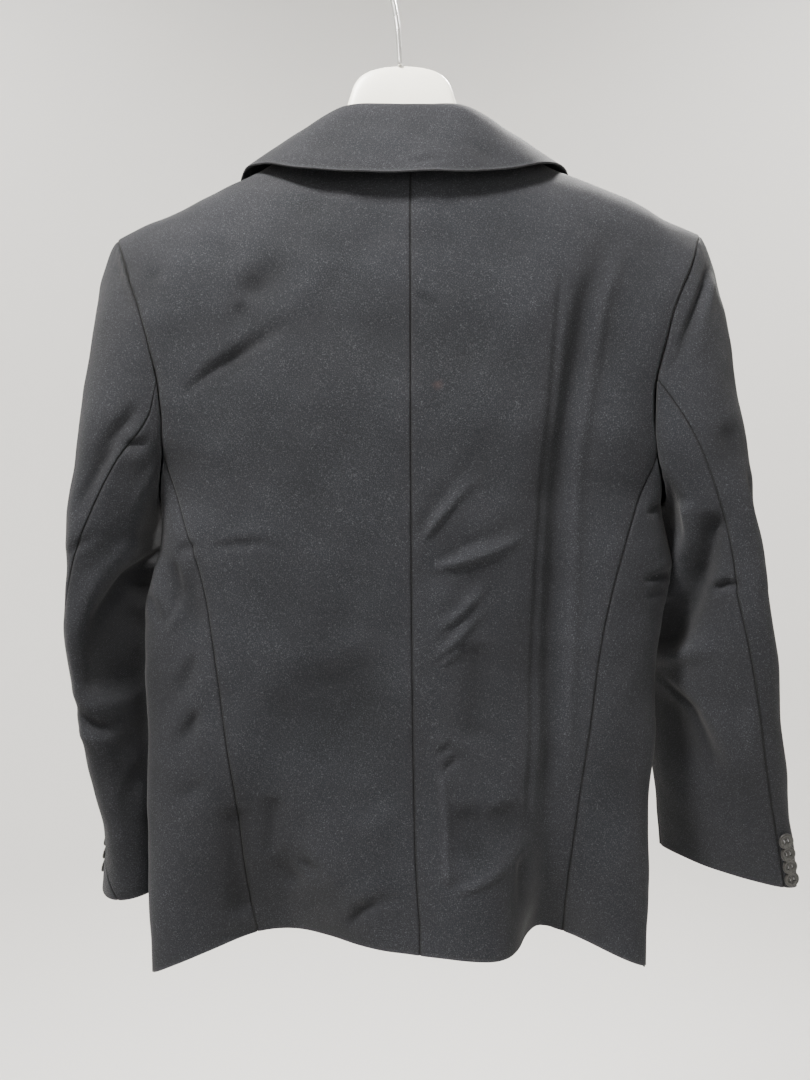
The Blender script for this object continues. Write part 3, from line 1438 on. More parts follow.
def stretch(tree, value, low, high, new_low=0.0, new_high=1.0):
    """Spreads a range of values to another one, cut off at both ends."""
    node = tree.nodes.new("ShaderNodeMapRange")
    node.clamp = True
    for place, number in enumerate((low, high, new_low, new_high)):
        node.inputs[place + 1].default_value = number
    tree.links.new(value, node.inputs[0])
    return node.outputs[0]


stretch(tried, noise(tried, start.outputs["Place"]), 0.3, 0.7)
print("a small tree:", [node.bl_idname for node in tried.nodes])
bpy.data.node_groups.remove(tried)

# %% The wool's colour and height
PALE_FIBRE = (0.110, 0.114, 0.126, 1)
WORN_EDGE = (0.16, 0.16, 0.17, 1)


def wool_group():
    """Pale fibres among dark ones, slubs, twill, and the shade of edges, hollows and seams."""
    group, start, end = new_group(
        "wool",
        [("Place", "Vector"), ("Weave", "Vector"), ("Edge", "Float"), ("Hollow", "Float")]
        + [("Seam", "Float"), ("Cloth", "Color")],
        [("Color", "Color"), ("Roughness", "Float"), ("Height", "Float")],
    )
    place, weave = start.outputs["Place"], start.outputs["Weave"]
    cloudy = noise(group, place, 7.0, 3.0)
    fibre = noise(group, place, 1050.0, 3.0, Roughness=0.75)
    threads = noise(group, scaled(group, weave, 2600.0, 420.0, 1.0))
    twill = add_node(
        group,
        "TexWave",
        settings={"wave_type": "BANDS", "bands_direction": "DIAGONAL"},
        values={"Scale": 420.0, "Distortion": 1.2, "Detail": 1.0},
        Vector=weave,
    )
    soft = stretch(group, cloudy, 0.25, 0.75, 0.88, 1.12)
    pale = stretch(group, fibre, 0.54, 0.72)
    dark = stretch(group, threads, 0.30, 0.62, 0.62, 1.12)
    colour = mix_colour(group, 1.0, start.outputs["Cloth"], soft, "MULTIPLY")
    colour = mix_colour(group, 1.0, colour, dark, "MULTIPLY")
    colour = mix_colour(group, math_node(group, "MULTIPLY", pale, 0.50), colour, PALE_FIBRE)
    worn = math_node(group, "MULTIPLY", start.outputs["Edge"], cloudy)
    colour = mix_colour(group, math_node(group, "MULTIPLY", worn, 0.16), colour, WORN_EDGE)
    hollow = stretch(group, start.outputs["Hollow"], -1.0, 1.0, 1.20, 0.62)
    colour = mix_colour(group, 1.0, colour, hollow, "MULTIPLY")
    dark = stretch(group, start.outputs["Seam"], 0.0, 1.0, 1.0, 0.25)
    colour = mix_colour(group, 1.0, colour, dark, "MULTIPLY")
    rough = stretch(group, cloudy, 0.2, 0.8, 0.82, 0.96)
    height = math_node(group, "MULTIPLY", twill.outputs["Fac"], 0.5)
    height = math_node(group, "ADD", height, threads)
    height = math_node(group, "ADD", height, fibre)
    group.links.new(colour, end.inputs["Color"])
    group.links.new(rough, end.inputs["Roughness"])
    group.links.new(height, end.inputs["Height"])
    return group


WOOL = wool_group()
print("wool nodes:", len(WOOL.nodes))

# %% Wool as a material
WOOL_GREY = (0.0120, 0.0127, 0.0152, 1)
STAIN_BROWN = (0.110, 0.055, 0.045, 1)


def new_material(name, sheen=0.0):
    made = bpy.data.materials.new(name)
    made.use_nodes = True
    shader = made.node_tree.nodes["Principled BSDF"]
    shader.inputs["Sheen Weight"].default_value = sheen
    return made, made.node_tree, shader


def surface(tree, shader, colour, rough, height, distance, strength):
    """Gives a shader its colour and roughness, and a bump of some distance and strength."""
    tree.links.new(colour, shader.inputs["Base Color"])
    tree.links.new(rough, shader.inputs["Roughness"])
    node = add_node(tree, "Bump", values={"Distance": distance, "Strength": strength}, Height=height)
    tree.links.new(node.outputs[0], shader.inputs["Normal"])


def wool(name, stain=None):
    """Dark grey wool, with a faint brown stain round one place where that is given."""
    made, tree, shader = new_material(name, 0.04)
    shader.inputs["Sheen Roughness"].default_value = 0.45
    shader.inputs["Specular IOR Level"].default_value = 0.18
    place = add_node(tree, "TexCoord").outputs["Object"]
    weave = add_node(tree, "UVMap", settings={"uv_map": "cloth"}).outputs[0]
    cloth_is = {"Cloth": WOOL_GREY}
    effect = add_node(tree, "Group", {"node_tree": WOOL}, cloth_is, Place=place, Weave=weave)
    for socket, attribute in (("Edge", "edge"), ("Hollow", "hollow"), ("Seam", "seam")):
        read = add_node(tree, "Attribute", settings={"attribute_name": attribute})
        tree.links.new(read.outputs["Fac"], effect.inputs[socket])
    colour = effect.outputs["Color"]
    if stain:
        uneven = math_node(tree, "MULTIPLY", noise(tree, place, 220.0), 0.008)
        far = math_node(tree, "ADD", far_from(tree, place, stain), uneven)
        share = stretch(tree, far, 0.0035, 0.0100, 0.16, 0.0)
        colour = mix_colour(tree, share, colour, STAIN_BROWN)
    rough, height = effect.outputs["Roughness"], effect.outputs["Height"]
    surface(tree, shader, colour, rough, height, 0.00025, 0.55)
    return made


print("wool reads:", [item.name for item in WOOL.interface.items_tree if item.in_out == "INPUT"])

# %% Lining
def satin(name):
    """The lining: smooth and dark, with faint lines of its warp."""
    made, tree, shader = new_material(name)
    weave = add_node(tree, "UVMap", settings={"uv_map": "cloth"}).outputs[0]
    lines = noise(tree, scaled(tree, weave, 1400.0, 40.0, 1.0))
    shade = stretch(tree, lines, 0.3, 0.7)
    colour = mix_colour(tree, shade, (0.030, 0.032, 0.038, 1), (0.052, 0.054, 0.062, 1))
    rough = stretch(tree, shade, 0, 1, 0.34, 0.46)
    surface(tree, shader, colour, rough, lines, 0.0001, 0.3)
    return made


LINING = satin("lining")
print("lining nodes:", len(LINING.node_tree.nodes))

# %% [markdown]
# ## Cloth with two faces and a rounded edge
#
# Each panel becomes a closed shell: an outer face of wool, an inner one of lining with the
# turned-in wool along its free edges, and a rounded rim. Where panels are sewn together
# both roll down into the seam, which leaves the narrow groove that pressing gives.

# %% How far a point is from each edge
EDGES = ("top", "bottom", "first", "last")


def arc(points, axis):
    """Length along a grid's rows or columns, from its start."""
    steps = np.linalg.norm(np.diff(points, axis=axis), axis=-1)
    total = np.cumsum(steps, axis=axis)
    return np.concatenate([np.zeros_like(np.take(total, [0], axis=axis)), total], axis=axis)


def edge_distances(points):
    down, along = arc(points, 0), arc(points, 1)
    return {
        "top": down,
        "bottom": down[-1:] - down,
        "first": along,
        "last": along[:, -1:] - along,
    }


tried = np.stack(np.meshgrid([0.0, 0.01, 0.03], [0.0, 0.02], [0.0], indexing="ij"), -1)[:, :, 0]
print("rows lie at", edge_distances(tried)["top"][:, 0])

# %% Creases and seams on a panel
SEAM_ROLL = 0.0030
SEAM_DIP = 0.0013
SEAM_BACK = 0.00012
TURN_IN = 0.032
PUCKER = 0.00028
PUCKER_LENGTH = 0.013


def inward(edge, next_in):
    """Directions from an edge towards the row beside it, square to the edge."""
    along = unit(np.gradient(edge, axis=0))
    way = next_in - edge
    return unit(way - along * (way * along).sum(axis=-1, keepdims=True))


def shaped(points, normals, where, sewn, gathered=()):
    """A panel with its creases, its seams rolled in and its edges drawn back a little."""
    distances = edge_distances(points)
    push = relief(points, normals, where)
    hollow = np.clip(-push / 0.004, -1, 1)
    for edge in gathered:
        other = "first" if edge in ("top", "bottom") else "top"
        ripple = np.sin(distances[other] * 2 * math.pi / PUCKER_LENGTH)
        push = push * softstep(distances[edge] / 0.012)
        push = push + PUCKER * ripple * np.exp(-distances[edge] / 0.008)
    for edge in sewn:
        near = np.clip(1 - distances[edge] / SEAM_ROLL, 0, 1)
        push = push - SEAM_DIP * (1 - np.sqrt(1 - near**2))
    moved = points + normals * push[..., None]
    for edge in sewn:
        pick = {"top": (0, 1), "bottom": (-1, -2)}.get(edge)
        if pick:
            moved[pick[0]] += inward(moved[pick[0]], moved[pick[1]]) * SEAM_BACK
        else:
            first, second = (0, 1) if edge == "first" else (-1, -2)
            moved[:, first] += inward(moved[:, first], moved[:, second]) * SEAM_BACK
    free = np.min([distances[edge] for edge in EDGES if edge not in sewn], axis=0)
    joined = np.min([distances[edge] for edge in sewn] or [free + 1], axis=0)
    values = {
        "edge": np.clip(1 - free / 0.004, 0, 1) ** 2,
        "hollow": hollow,
        "seam": np.clip(1 - joined / 0.0016, 0, 1),
    }
    return moved, values, free > TURN_IN


collar_values = shaped(*panels["collar"], "collar", ())[1]
print("deepest hollow of the collar, as a share:", collar_values["hollow"].max())

# %% Faces of a closed shell
CLOTH = 0.0018
RIM_OUT = 0.0005


def border(rows, columns):
    """The places round a grid, in order."""
    ring = [(0, c) for c in range(columns)]
    ring += [(r, columns - 1) for r in range(1, rows)]
    ring += [(rows - 1, c) for c in range(columns - 2, -1, -1)]
    ring += [(r, 0) for r in range(rows - 2, 0, -1)]
    return ring


def every_second(count):
    return np.unique(np.concatenate([np.arange(0, count, 2), [count - 1]]))


def grid_faces(rows, columns, start, turned=False):
    """Four-sided faces of a grid of points, the other way round for an inner face."""
    r, c = np.meshgrid(np.arange(rows - 1), np.arange(columns - 1), indexing="ij")
    first = (r * columns + c).ravel() + start
    corners = [first, first + columns, first + columns + 1, first + 1]
    if turned:
        corners = [corners[0], corners[3], corners[2], corners[1]]
    return np.stack(corners, axis=1).tolist()


def rim_faces(ring, columns, inner_rows, inner_columns, start_inner, start_rim):
    """Faces from the outer face over the rim to the inner one, which skips some places."""
    count, wide = len(ring), len(inner_columns)
    row_at = {row: i for i, row in enumerate(inner_rows)}
    column_at = {column: i for i, column in enumerate(inner_columns)}
    kept = [k for k, (row, column) in enumerate(ring) if row in row_at and column in column_at]
    inner = {k: start_inner + row_at[ring[k][0]] * wide + column_at[ring[k][1]] for k in kept}
    outer = [row * columns + column for row, column in ring]
    faces = []
    for k in range(count):
        j = (k + 1) % count
        faces.append([outer[k], outer[j], start_rim + j, start_rim + k])
    for k, j in zip(kept, kept[1:] + [kept[0] + count]):
        line = [start_rim + i % count for i in range(k, j + 1)]
        faces.append(line + [inner[j % count], inner[k]])
    return faces


print("faces of a small grid:", grid_faces(2, 3, 0))

# %% A closed shell
def rim_points(points, normals, ring):
    """The outermost line of the rounded edge, half way through the cloth."""
    edge_points, edge_out = points[ring[:, 0], ring[:, 1]], normals[ring[:, 0], ring[:, 1]]
    way = unit(np.roll(edge_points, -1, axis=0) - np.roll(edge_points, 1, axis=0))
    out = np.cross(way, edge_out)
    middle = points[points.shape[0] // 2, points.shape[1] // 2]
    if ((edge_points - middle) * out).sum() < 0:
        out = -out
    return edge_points - edge_out * CLOTH / 2 + unit(out) * RIM_OUT


def shell(name, points, normals, values, lined, materials):
    """A closed mesh with a fine outer face and an inner face of half as many points."""
    rows, columns = points.shape[:2]
    inner_rows, inner_columns = every_second(rows), every_second(columns)
    pick = np.ix_(inner_rows, inner_columns)
    inside = (points - normals * CLOTH)[pick]
    ring = border(rows, columns)
    at = np.array(ring)
    start_inner = rows * columns
    start_rim = start_inner + inside.shape[0] * inside.shape[1]
    outer_faces = grid_faces(rows, columns, 0)
    inner_faces = grid_faces(len(inner_rows), len(inner_columns), start_inner, turned=True)
    faces = outer_faces + inner_faces
    faces += rim_faces(ring, columns, inner_rows, inner_columns, start_inner, start_rim)
    if np.cross(points[1, 0] - points[0, 0], points[0, 1] - points[0, 0]) @ normals[0, 0] < 0:
        faces = [face[::-1] for face in faces]
    data = bpy.data.meshes.new(name)
    every = [points.reshape(-1, 3), inside.reshape(-1, 3), rim_points(points, normals, at)]
    data.from_pydata(np.concatenate(every).tolist(), [], faces)
    weave = np.stack([arc(points, 1), -arc(points, 0)], axis=-1)
    flat = [weave.reshape(-1, 2), weave[pick].reshape(-1, 2), weave[at[:, 0], at[:, 1]]]
    corners = np.empty(len(data.loops), np.int32)
    data.loops.foreach_get("vertex_index", corners)
    placed = np.concatenate(flat)[corners].ravel()
    data.uv_layers.new(name="cloth").data.foreach_set("uv", placed)
    for label, value in values.items():
        every_value = [value.ravel(), value[pick].ravel() * 0, value[at[:, 0], at[:, 1]]]
        data.attributes.new(label, "FLOAT", "POINT").data.foreach_set(
            "value", np.concatenate(every_value).astype(np.float32)
        )
    for made in materials:
        data.materials.append(made)
    centre = lined[pick][:-1, :-1] & lined[pick][1:, 1:]
    index = np.zeros(len(faces), np.int32)
    index[len(outer_faces) : len(outer_faces) + len(inner_faces)] = centre.ravel()
    data.polygons.foreach_set("material_index", index)
    data.shade_smooth()
    return add_object(name, data)


def cloth_area(points):
    """Area of a panel's outer face, in square metres."""
    across = np.diff(points, axis=1)[:-1]
    down = np.diff(points, axis=0)[:, :-1]
    return float(np.linalg.norm(np.cross(across, down), axis=-1).sum())


print("area of the collar:", round(cloth_area(panels["collar"][0]), 4))

# %% Sewing them
SEWN = {
    "back": ("top", "first", "last"),
    "front": ("top", "last"),
    "side": ("top", "first", "last"),
    "top_sleeve": ("top", "first", "last"),
    "under_sleeve": ("top", "first", "last"),
    "lapel": ("top",),
    "collar": (),
}
GROUND = {"collar": "collar", "lapel": "lapel"}
STAIN = (-0.0273, 0.055, -0.410)
flat_sizes = {}
cloth = {}
for name, (points, normals) in panels.items():
    kind, _, side = name.rpartition("_")
    kind = kind or name
    where = f"sleeve_{side}" if "sleeve" in kind else GROUND.get(kind, "body")
    gathered = ("top",) if "sleeve" in kind else ()
    moved, values, lined = shaped(points, normals, where, SEWN[kind], gathered)
    own = wool(f"{name}_wool", STAIN if name == "back_right" else None)
    under = own if kind in ("collar", "lapel") else LINING
    piece = shell(f"cloth_{name}", moved, normals, values, lined, (own, under))
    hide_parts(name)
    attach(piece, "root")
    cloth[name] = piece
    width, length = float(arc(moved, 1)[:, -1].max()), float(arc(moved, 0)[-1].max())
    flat_sizes[name] = (round(width, 3), round(length, 3), round(cloth_area(moved), 4))
    print(name, "flat", flat_sizes[name])

# %% [markdown]
# ## The hanger, drawn finely
#
# The moulded hanger is a loft: one oval section after another from end to end, thick where
# the shoulders rest. It has the formulas of its solid and only more sections.

# %% Sections of the hanger
HANGER_X = 0.0025
HANGER_REACH = 0.232
HANGER_CLEAR = 0.0050
HANGER_DOME = table(
    "x      top     bottom",
    (0.0000, -0.1153, -0.1980),
    (0.0120, -0.1160, -0.1978),
    (0.0240, -0.1182, -0.1970),
    (0.0340, -0.1225, -0.1965),
    (0.0420, -0.1310, -0.1962),
    (0.0480, -0.1480, -0.1965),
    (0.0560, -0.1760, -0.1985),
    (0.0700, -0.1920, -0.2050),
)
HANGER_ARM = table(
    "x      deep    half",
    (0.0600, 0.0230, 0.0055),
    (0.0900, 0.0230, 0.0058),
    (0.1300, 0.0230, 0.0080),
    (0.1800, 0.0220, 0.0120),
    (0.2200, 0.0200, 0.0150),
    (0.2320, 0.0140, 0.0120),
)


def hanger_section(x):
    """Top, bottom and half thickness of the hanger at a place across."""
    off = abs(x - HANGER_X)
    arm_top = float(ridge(np.array(x))) - HANGER_CLEAR
    arm_bottom = arm_top - float(smooth(HANGER_ARM, "deep", off))
    half = float(smooth(HANGER_ARM, "half", off))
    share = float(softstep((off - 0.050) / 0.020))
    dome_top = min(float(smooth(HANGER_DOME, "top", off)), 0.0)
    dome_bottom = float(smooth(HANGER_DOME, "bottom", off))
    return blend(dome_top, arm_top, share), blend(dome_bottom, arm_bottom, share), half


print("top, bottom and half thickness in the middle:", hanger_section(HANGER_X))

# %% A closed loft
def ring_faces(count, around):
    """Four-sided faces between each ring of points and the next."""
    faces = []
    for i in range(count - 1):
        for j in range(around):
            k = (j + 1) % around
            faces.append((i * around + j, i * around + k, (i + 1) * around + k, (i + 1) * around + j))
    return faces


CAP_RINGS = ((0.88, 0.20), (0.6, 0.36))
CAP_HEIGHT = 0.42


def solid_mesh(name, rings, material, uv=None):
    """A closed, smooth mesh through rings, with a rounded cap at both ends."""
    rings = np.array(rings)
    count, around = rings.shape[:2]
    points = rings.reshape(-1, 3).tolist()
    faces = ring_faces(count, around)
    for ring, near in ((0, 1), (count - 1, count - 2)):
        middle = rings[ring].mean(axis=0)
        out = unit(middle - rings[near].mean(axis=0))
        size = np.linalg.norm(rings[ring] - middle, axis=1).min()
        last = ring * around
        for shrink, lift in CAP_RINGS:
            start = len(points)
            points += (middle + (rings[ring] - middle) * shrink + out * size * lift).tolist()
            for j in range(around):
                k = (j + 1) % around
                faces.append((last + j, last + k, start + k, start + j))
            last = start
        points.append((middle + out * size * CAP_HEIGHT).tolist())
        for j in range(around):
            faces.append((last + j, last + (j + 1) % around, len(points) - 1))
    data = bpy.data.meshes.new(name)
    data.from_pydata(points, [], faces)
    if uv is not None:
        flat = np.zeros((len(points), 2))
        flat[: count * around] = uv.reshape(-1, 2)
        corners = np.empty(len(data.loops), np.int32)
        data.loops.foreach_get("vertex_index", corners)
        data.uv_layers.new(name="wire").data.foreach_set("uv", flat[corners].ravel())
    mesh = bmesh.new()
    mesh.from_mesh(data)
    bmesh.ops.recalc_face_normals(mesh, faces=mesh.faces[:])
    mesh.to_mesh(data)
    mesh.free()
    data.shade_smooth()
    data.materials.append(material)
    return add_object(name, data)


def put_in_place(piece, node):
    """Lets a piece stand for its solid, on the part's one body."""
    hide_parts(node)
    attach(piece, "root")
    print(piece.name, "faces:", len(piece.data.polygons))


print("a rounded cap has", len(CAP_RINGS), "rings")

# %% Cream plastic
SMUDGE = (-0.0066, 0.006, -0.1180)


def plastic(name):
    """Cream moulded plastic with faint scuffs and one grey smudge below the hook."""
    made, tree, shader = new_material(name)
    place = add_node(tree, "TexCoord").outputs["Object"]
    tone = noise(tree, place, 22.0, 3.0)
    marks = noise(tree, scaled(tree, place, 240.0, 240.0, 1700.0), 1.0, 3.0)
    colour = mix_colour(tree, tone, (0.80, 0.78, 0.68, 1), (0.88, 0.865, 0.78, 1))
    scratched = stretch(tree, marks, 0.66, 0.76, 0.0, 0.35)
    colour = mix_colour(tree, scratched, colour, (0.52, 0.50, 0.44, 1))
    smudge = stretch(tree, far_from(tree, place, SMUDGE), 0.002, 0.0065, 0.45, 0.0)
    colour = mix_colour(tree, smudge, colour, (0.30, 0.30, 0.29, 1))
    rough = stretch(tree, marks, 0.3, 0.8, 0.30, 0.52)
    surface(tree, shader, colour, rough, marks, 0.0001, 0.15)
    return made


CREAM = plastic("cream_plastic")
print("plastic nodes:", len(CREAM.node_tree.nodes))

# %% The hanger
def fine_hanger():
    """One oval section after another, closer together where the hook's dome is."""
    inner = np.linspace(0, 0.070, 60)
    outer = np.linspace(0.070, HANGER_REACH, 90)[1:]
    half = np.concatenate([inner, outer])
    places = np.concatenate([-half[:0:-1], half]) + HANGER_X
    angles = np.linspace(0, 2 * math.pi, 40, endpoint=False)
    rings = []
    for x in places:
        top, bottom, thick = hanger_section(x)
        y = thick * np.cos(angles)
        z = (top + bottom) / 2 + (top - bottom) / 2 * np.sin(angles)
        rings.append(np.stack([0 * y + x, y + RIDGE_Y, z], axis=-1))
    return solid_mesh("fine_hanger", rings, CREAM)


put_in_place(fine_hanger(), "hanger")

# %% [markdown]
# ## The wire hook
#
# A hook is bent from one piece of drawn wire. Its stem leans, its top is an arc open to one
# side, and a few rounds of averaging soften the bend between the two. The scratches of the
# drawing run along the wire, so they follow a UV map laid along its length.

# %% Drawn steel
def steel(name):
    """Drawn wire: bright, with short scratches along it and a duller bloom in places."""
    made, tree, shader = new_material(name)
    shader.inputs["Metallic"].default_value = 1.0
    place = add_node(tree, "TexCoord").outputs["Object"]
    bloom = noise(tree, place, 90.0, 4.0)
    lines = add_node(tree, "UVMap", settings={"uv_map": "wire"}).outputs[0]
    marks = noise(tree, scaled(tree, lines, 2400.0, 90.0, 1.0))
    colour = mix_colour(tree, bloom, (0.62, 0.62, 0.61, 1), (0.42, 0.42, 0.42, 1))
    rough = stretch(tree, bloom, 0.3, 0.7, 0.18, 0.38)
    surface(tree, shader, colour, rough, marks, 0.00005, 0.3)
    return made


STEEL = steel("drawn_steel")
print("steel nodes:", len(STEEL.node_tree.nodes))

# %% The hook
WIRE = 0.0045
HOOK_RADIUS = 0.02225
HOOK_STEM = table(
    "z      x",
    (-0.1148, 0.0044),
    (-0.1000, 0.0053),
    (-0.0840, 0.0064),
    (-0.0576, 0.0108),
    (-0.0308, 0.0195),
)
HOOK_FROM = -20.0
HOOK_TO = 205.0


def fine_hook():
    """A tube along the stem and the arc."""
    stem_z = np.linspace(HOOK_STEM["z"][0], HOOK_STEM["z"][-1], 40)
    path = [(float(smooth(HOOK_STEM, "x", z)), 0.0, z) for z in stem_z]
    centre_z = WIRE / 2 - HOOK_RADIUS
    for angle in np.radians(np.arange(HOOK_FROM, HOOK_TO, 2.5)):
        path.append((HOOK_RADIUS * math.cos(angle), 0.0, centre_z + HOOK_RADIUS * math.sin(angle)))
    path = np.array(path)
    for _ in range(3):
        path[1:-1] = (path[:-2] + 2 * path[1:-1] + path[2:]) / 4
    way = unit(np.gradient(path, axis=0))
    side = np.array([0.0, 1.0, 0.0])
    other = np.cross(way, side)
    angles = np.linspace(0, 2 * math.pi, 24, endpoint=False)
    offsets = np.cos(angles)[None, :, None] * side + np.sin(angles)[None, :, None] * other[:, None]
    rings = path[:, None] + offsets * (WIRE / 2)
    run = np.concatenate([[0.0], np.cumsum(np.linalg.norm(np.diff(path, axis=0), axis=1))])
    around = np.tile(np.abs(angles - math.pi) * WIRE / 2, (len(path), 1))
    uv = np.stack([around, np.tile(run[:, None], (1, len(angles)))], axis=-1)
    return solid_mesh("fine_hook", rings, STEEL, uv)


put_in_place(fine_hook(), "hook")

# %% [markdown]
# ## Horn buttons
#
# A button is turned, so a profile spun round its axis gives it: a flat well, a rim and a
# rounded back. Four holes are cut once, into a blank of each size, and two parallel
# stitches go through them. The blanks are then put in place on the cuffs and the front.

# %% Horn
HORN_DARK = (0.013, 0.0128, 0.012, 1)
HORN_PALE = (0.046, 0.046, 0.043, 1)


def horn(name):
    """Grey marbled horn, darker at the rim, where "rim" is the share of the radius."""
    made, tree, shader = new_material(name)
    place = add_node(tree, "TexCoord").outputs["Object"]
    cloud = noise(tree, place, 420.0, 4.0, Distortion=1.2)
    rim = add_node(tree, "Attribute", settings={"attribute_name": "rim"}).outputs["Fac"]
    marbled = stretch(tree, cloud, 0.35, 0.68)
    colour = mix_colour(tree, marbled, HORN_DARK, HORN_PALE)
    dark = stretch(tree, rim, 0.74, 0.92, 0.0, 0.72)
    colour = mix_colour(tree, dark, colour, (0.018, 0.017, 0.016, 1))
    rough = stretch(tree, marbled, 0, 1, 0.34, 0.50)
    shader.inputs["Specular IOR Level"].default_value = 0.28
    surface(tree, shader, colour, rough, cloud, 0.00008, 0.25)
    return made


print("horn is marbled from", HORN_DARK[:3], "to", HORN_PALE[:3])
# %% Sewing thread
def thread(name, colour):
    """Twisted sewing thread."""
    made, tree, shader = new_material(name, 0.2)
    place = add_node(tree, "TexCoord").outputs["Object"]
    twist = add_node(
        tree,
        "TexWave",
        settings={"wave_type": "BANDS", "bands_direction": "DIAGONAL"},
        values={"Scale": 900.0, "Distortion": 0.5},
        Vector=place,
    )
    dark = tuple(0.55 * part for part in colour[:3]) + (1,)
    light = twist.outputs["Fac"]
    rough = stretch(tree, light, 0, 1, 0.6, 0.8)
    surface(tree, shader, mix_colour(tree, light, dark, colour), rough, light, 0.00008, 0.5)
    return made


THREAD = thread("grey_thread", (0.20, 0.20, 0.21, 1))
print("thread nodes:", len(THREAD.node_tree.nodes))

# %% Turning a blank
def baked(thing):
    """The mesh of an object with its modifiers applied. The object itself goes."""
    graph = bpy.context.evaluated_depsgraph_get()
    made = bpy.data.meshes.new_from_object(thing.evaluated_get(graph))
    bpy.data.objects.remove(thing)
    return made


HOLE = 0.00075
HOLE_OFF = 0.13


def turned_button(name, size, around=72):
    """A button blank at the origin, facing +Z, with its four holes."""
    radius = size / 2
    profile = [
        (0.0, 0.00165), (0.30, 0.00165), (0.52, 0.00168), (0.60, 0.00185), (0.68, 0.00235),
        (0.76, 0.00268), (0.84, 0.00280), (0.92, 0.00268), (0.98, 0.00222), (1.0, 0.00180),
        (0.985, 0.00130), (0.93, 0.00090), (0.75, 0.00040), (0.50, 0.00012), (0.0, 0.0),
    ]
    angles = np.linspace(0, 2 * math.pi, around, endpoint=False)
    points = [(0.0, 0.0, profile[0][1])]
    for share, z in profile[1:-1]:
        points += [(share * radius * math.cos(a), share * radius * math.sin(a), z) for a in angles]
    points.append((0.0, 0.0, profile[-1][1]))
    faces = [(0, 1 + i, 1 + (i + 1) % around) for i in range(around)]
    for ring in range(len(profile) - 3):
        low, high = 1 + ring * around, 1 + (ring + 1) * around
        faces += [
            (low + i, high + i, high + (i + 1) % around, low + (i + 1) % around) for i in range(around)
        ]
    start = 1 + (len(profile) - 3) * around
    faces += [(start + i, len(points) - 1, start + (i + 1) % around) for i in range(around)]
    data = bpy.data.meshes.new(name)
    data.from_pydata(points, [], faces)
    blank = add_object(name, data)
    drill = bmesh.new()
    for x in (-1, 1):
        for y in (-1, 1):
            place = Matrix.Translation((x * HOLE_OFF * size, y * HOLE_OFF * size, 0.001))
            bmesh.ops.create_cone(
                drill, cap_ends=True, segments=20, radius1=HOLE, radius2=HOLE, depth=0.01, matrix=place
            )
    drill_data = bpy.data.meshes.new("drill")
    drill.to_mesh(drill_data)
    drill.free()
    cutter = add_object("drill", drill_data)
    cut = blank.modifiers.new("holes", "BOOLEAN")
    cut.object = cutter
    cut.solver = "EXACT"
    holed = baked(blank)
    bpy.data.objects.remove(cutter)
    return holed


print("holes lie", 2 * HOLE_OFF, "of a button's width apart")

# %% Thread through the holes
STRAND_RISE = 0.0016
STRAND_RADIUS = 0.00021
STRAND_SHIFT = 0.00022
STRAND_START_Z = 0.0006


def strand(start, end, rise, radius, steps=10, around=8):
    """Points and faces of one stitch, bowed up between two holes and going down into both."""
    t = np.linspace(0, 1, steps + 1)
    bow = np.sin(math.pi * t) ** 0.5 * rise
    path = blend(start, end, t[:, None]) + np.stack([0 * t, 0 * t, bow], axis=-1)
    way = unit(np.gradient(path, axis=0))
    side = unit(np.cross(way, np.array([0, 0, 1.0])))
    other = np.cross(side, way)
    angles = np.linspace(0, 2 * math.pi, around, endpoint=False)
    rings = path[:, None] + radius * (
        np.cos(angles)[None, :, None] * side[:, None] + np.sin(angles)[None, :, None] * other[:, None]
    )
    faces = ring_faces(steps + 1, around)
    faces.append(tuple(range(around))[::-1])
    faces.append(tuple(steps * around + j for j in range(around)))
    return rings.reshape(-1, 3), faces


tried = strand(np.zeros(3), np.array([0, 0.003, 0]), STRAND_RISE, STRAND_RADIUS)
print("points and faces of a strand:", len(tried[0]), len(tried[1]))

# %% A button with its thread
def place_button(name, blank, size, frame_matrix, material):
    """A blank with its rim value and its thread, put where its solid is."""
    holes = size * HOLE_OFF
    parts = [np.array([tuple(v.co) for v in blank.vertices])]
    faces = [list(p.vertices) for p in blank.polygons]
    indexes = [0] * len(faces)
    offset = len(parts[0])
    rim = list(np.hypot(parts[0][:, 0], parts[0][:, 1]) / (size / 2))
    for x in (-1, 1):
        for shift in (-STRAND_SHIFT, STRAND_SHIFT):
            start = np.array([x * holes + shift, -holes, STRAND_START_Z])
            end = np.array([x * holes + shift, holes, STRAND_START_Z])
            points, found = strand(start, end, STRAND_RISE, STRAND_RADIUS)
            parts.append(points)
            faces += [[i + offset for i in face] for face in found]
            indexes += [1] * len(found)
            rim += [0.0] * len(points)
            offset += len(points)
    data = bpy.data.meshes.new(name)
    data.from_pydata(np.concatenate(parts).tolist(), [], faces)
    data.attributes.new("rim", "FLOAT", "POINT").data.foreach_set("value", np.array(rim, np.float32))
    data.materials.append(material)
    data.materials.append(THREAD)
    data.polygons.foreach_set("material_index", np.array(indexes, np.int32))
    data.transform(frame_matrix)
    data.shade_smooth()
    data.set_sharp_from_angle(angle=math.radians(40))
    return add_object(name, data)


def button_frame(place, away, up):
    """A matrix that puts a blank at a place, facing away, with its top towards up."""
    across = unit(np.cross(up, away))
    made = np.eye(4)
    made[:3] = np.stack([across, np.cross(away, across), away, place], axis=1)
    return Matrix(made.tolist())


facing_back = button_frame(np.zeros(3), np.array([0, 1.0, 0]), np.array([0, 0, 1.0]))
print("a button's own front turns to", tuple(facing_back @ Vector((0, 0, 1))))

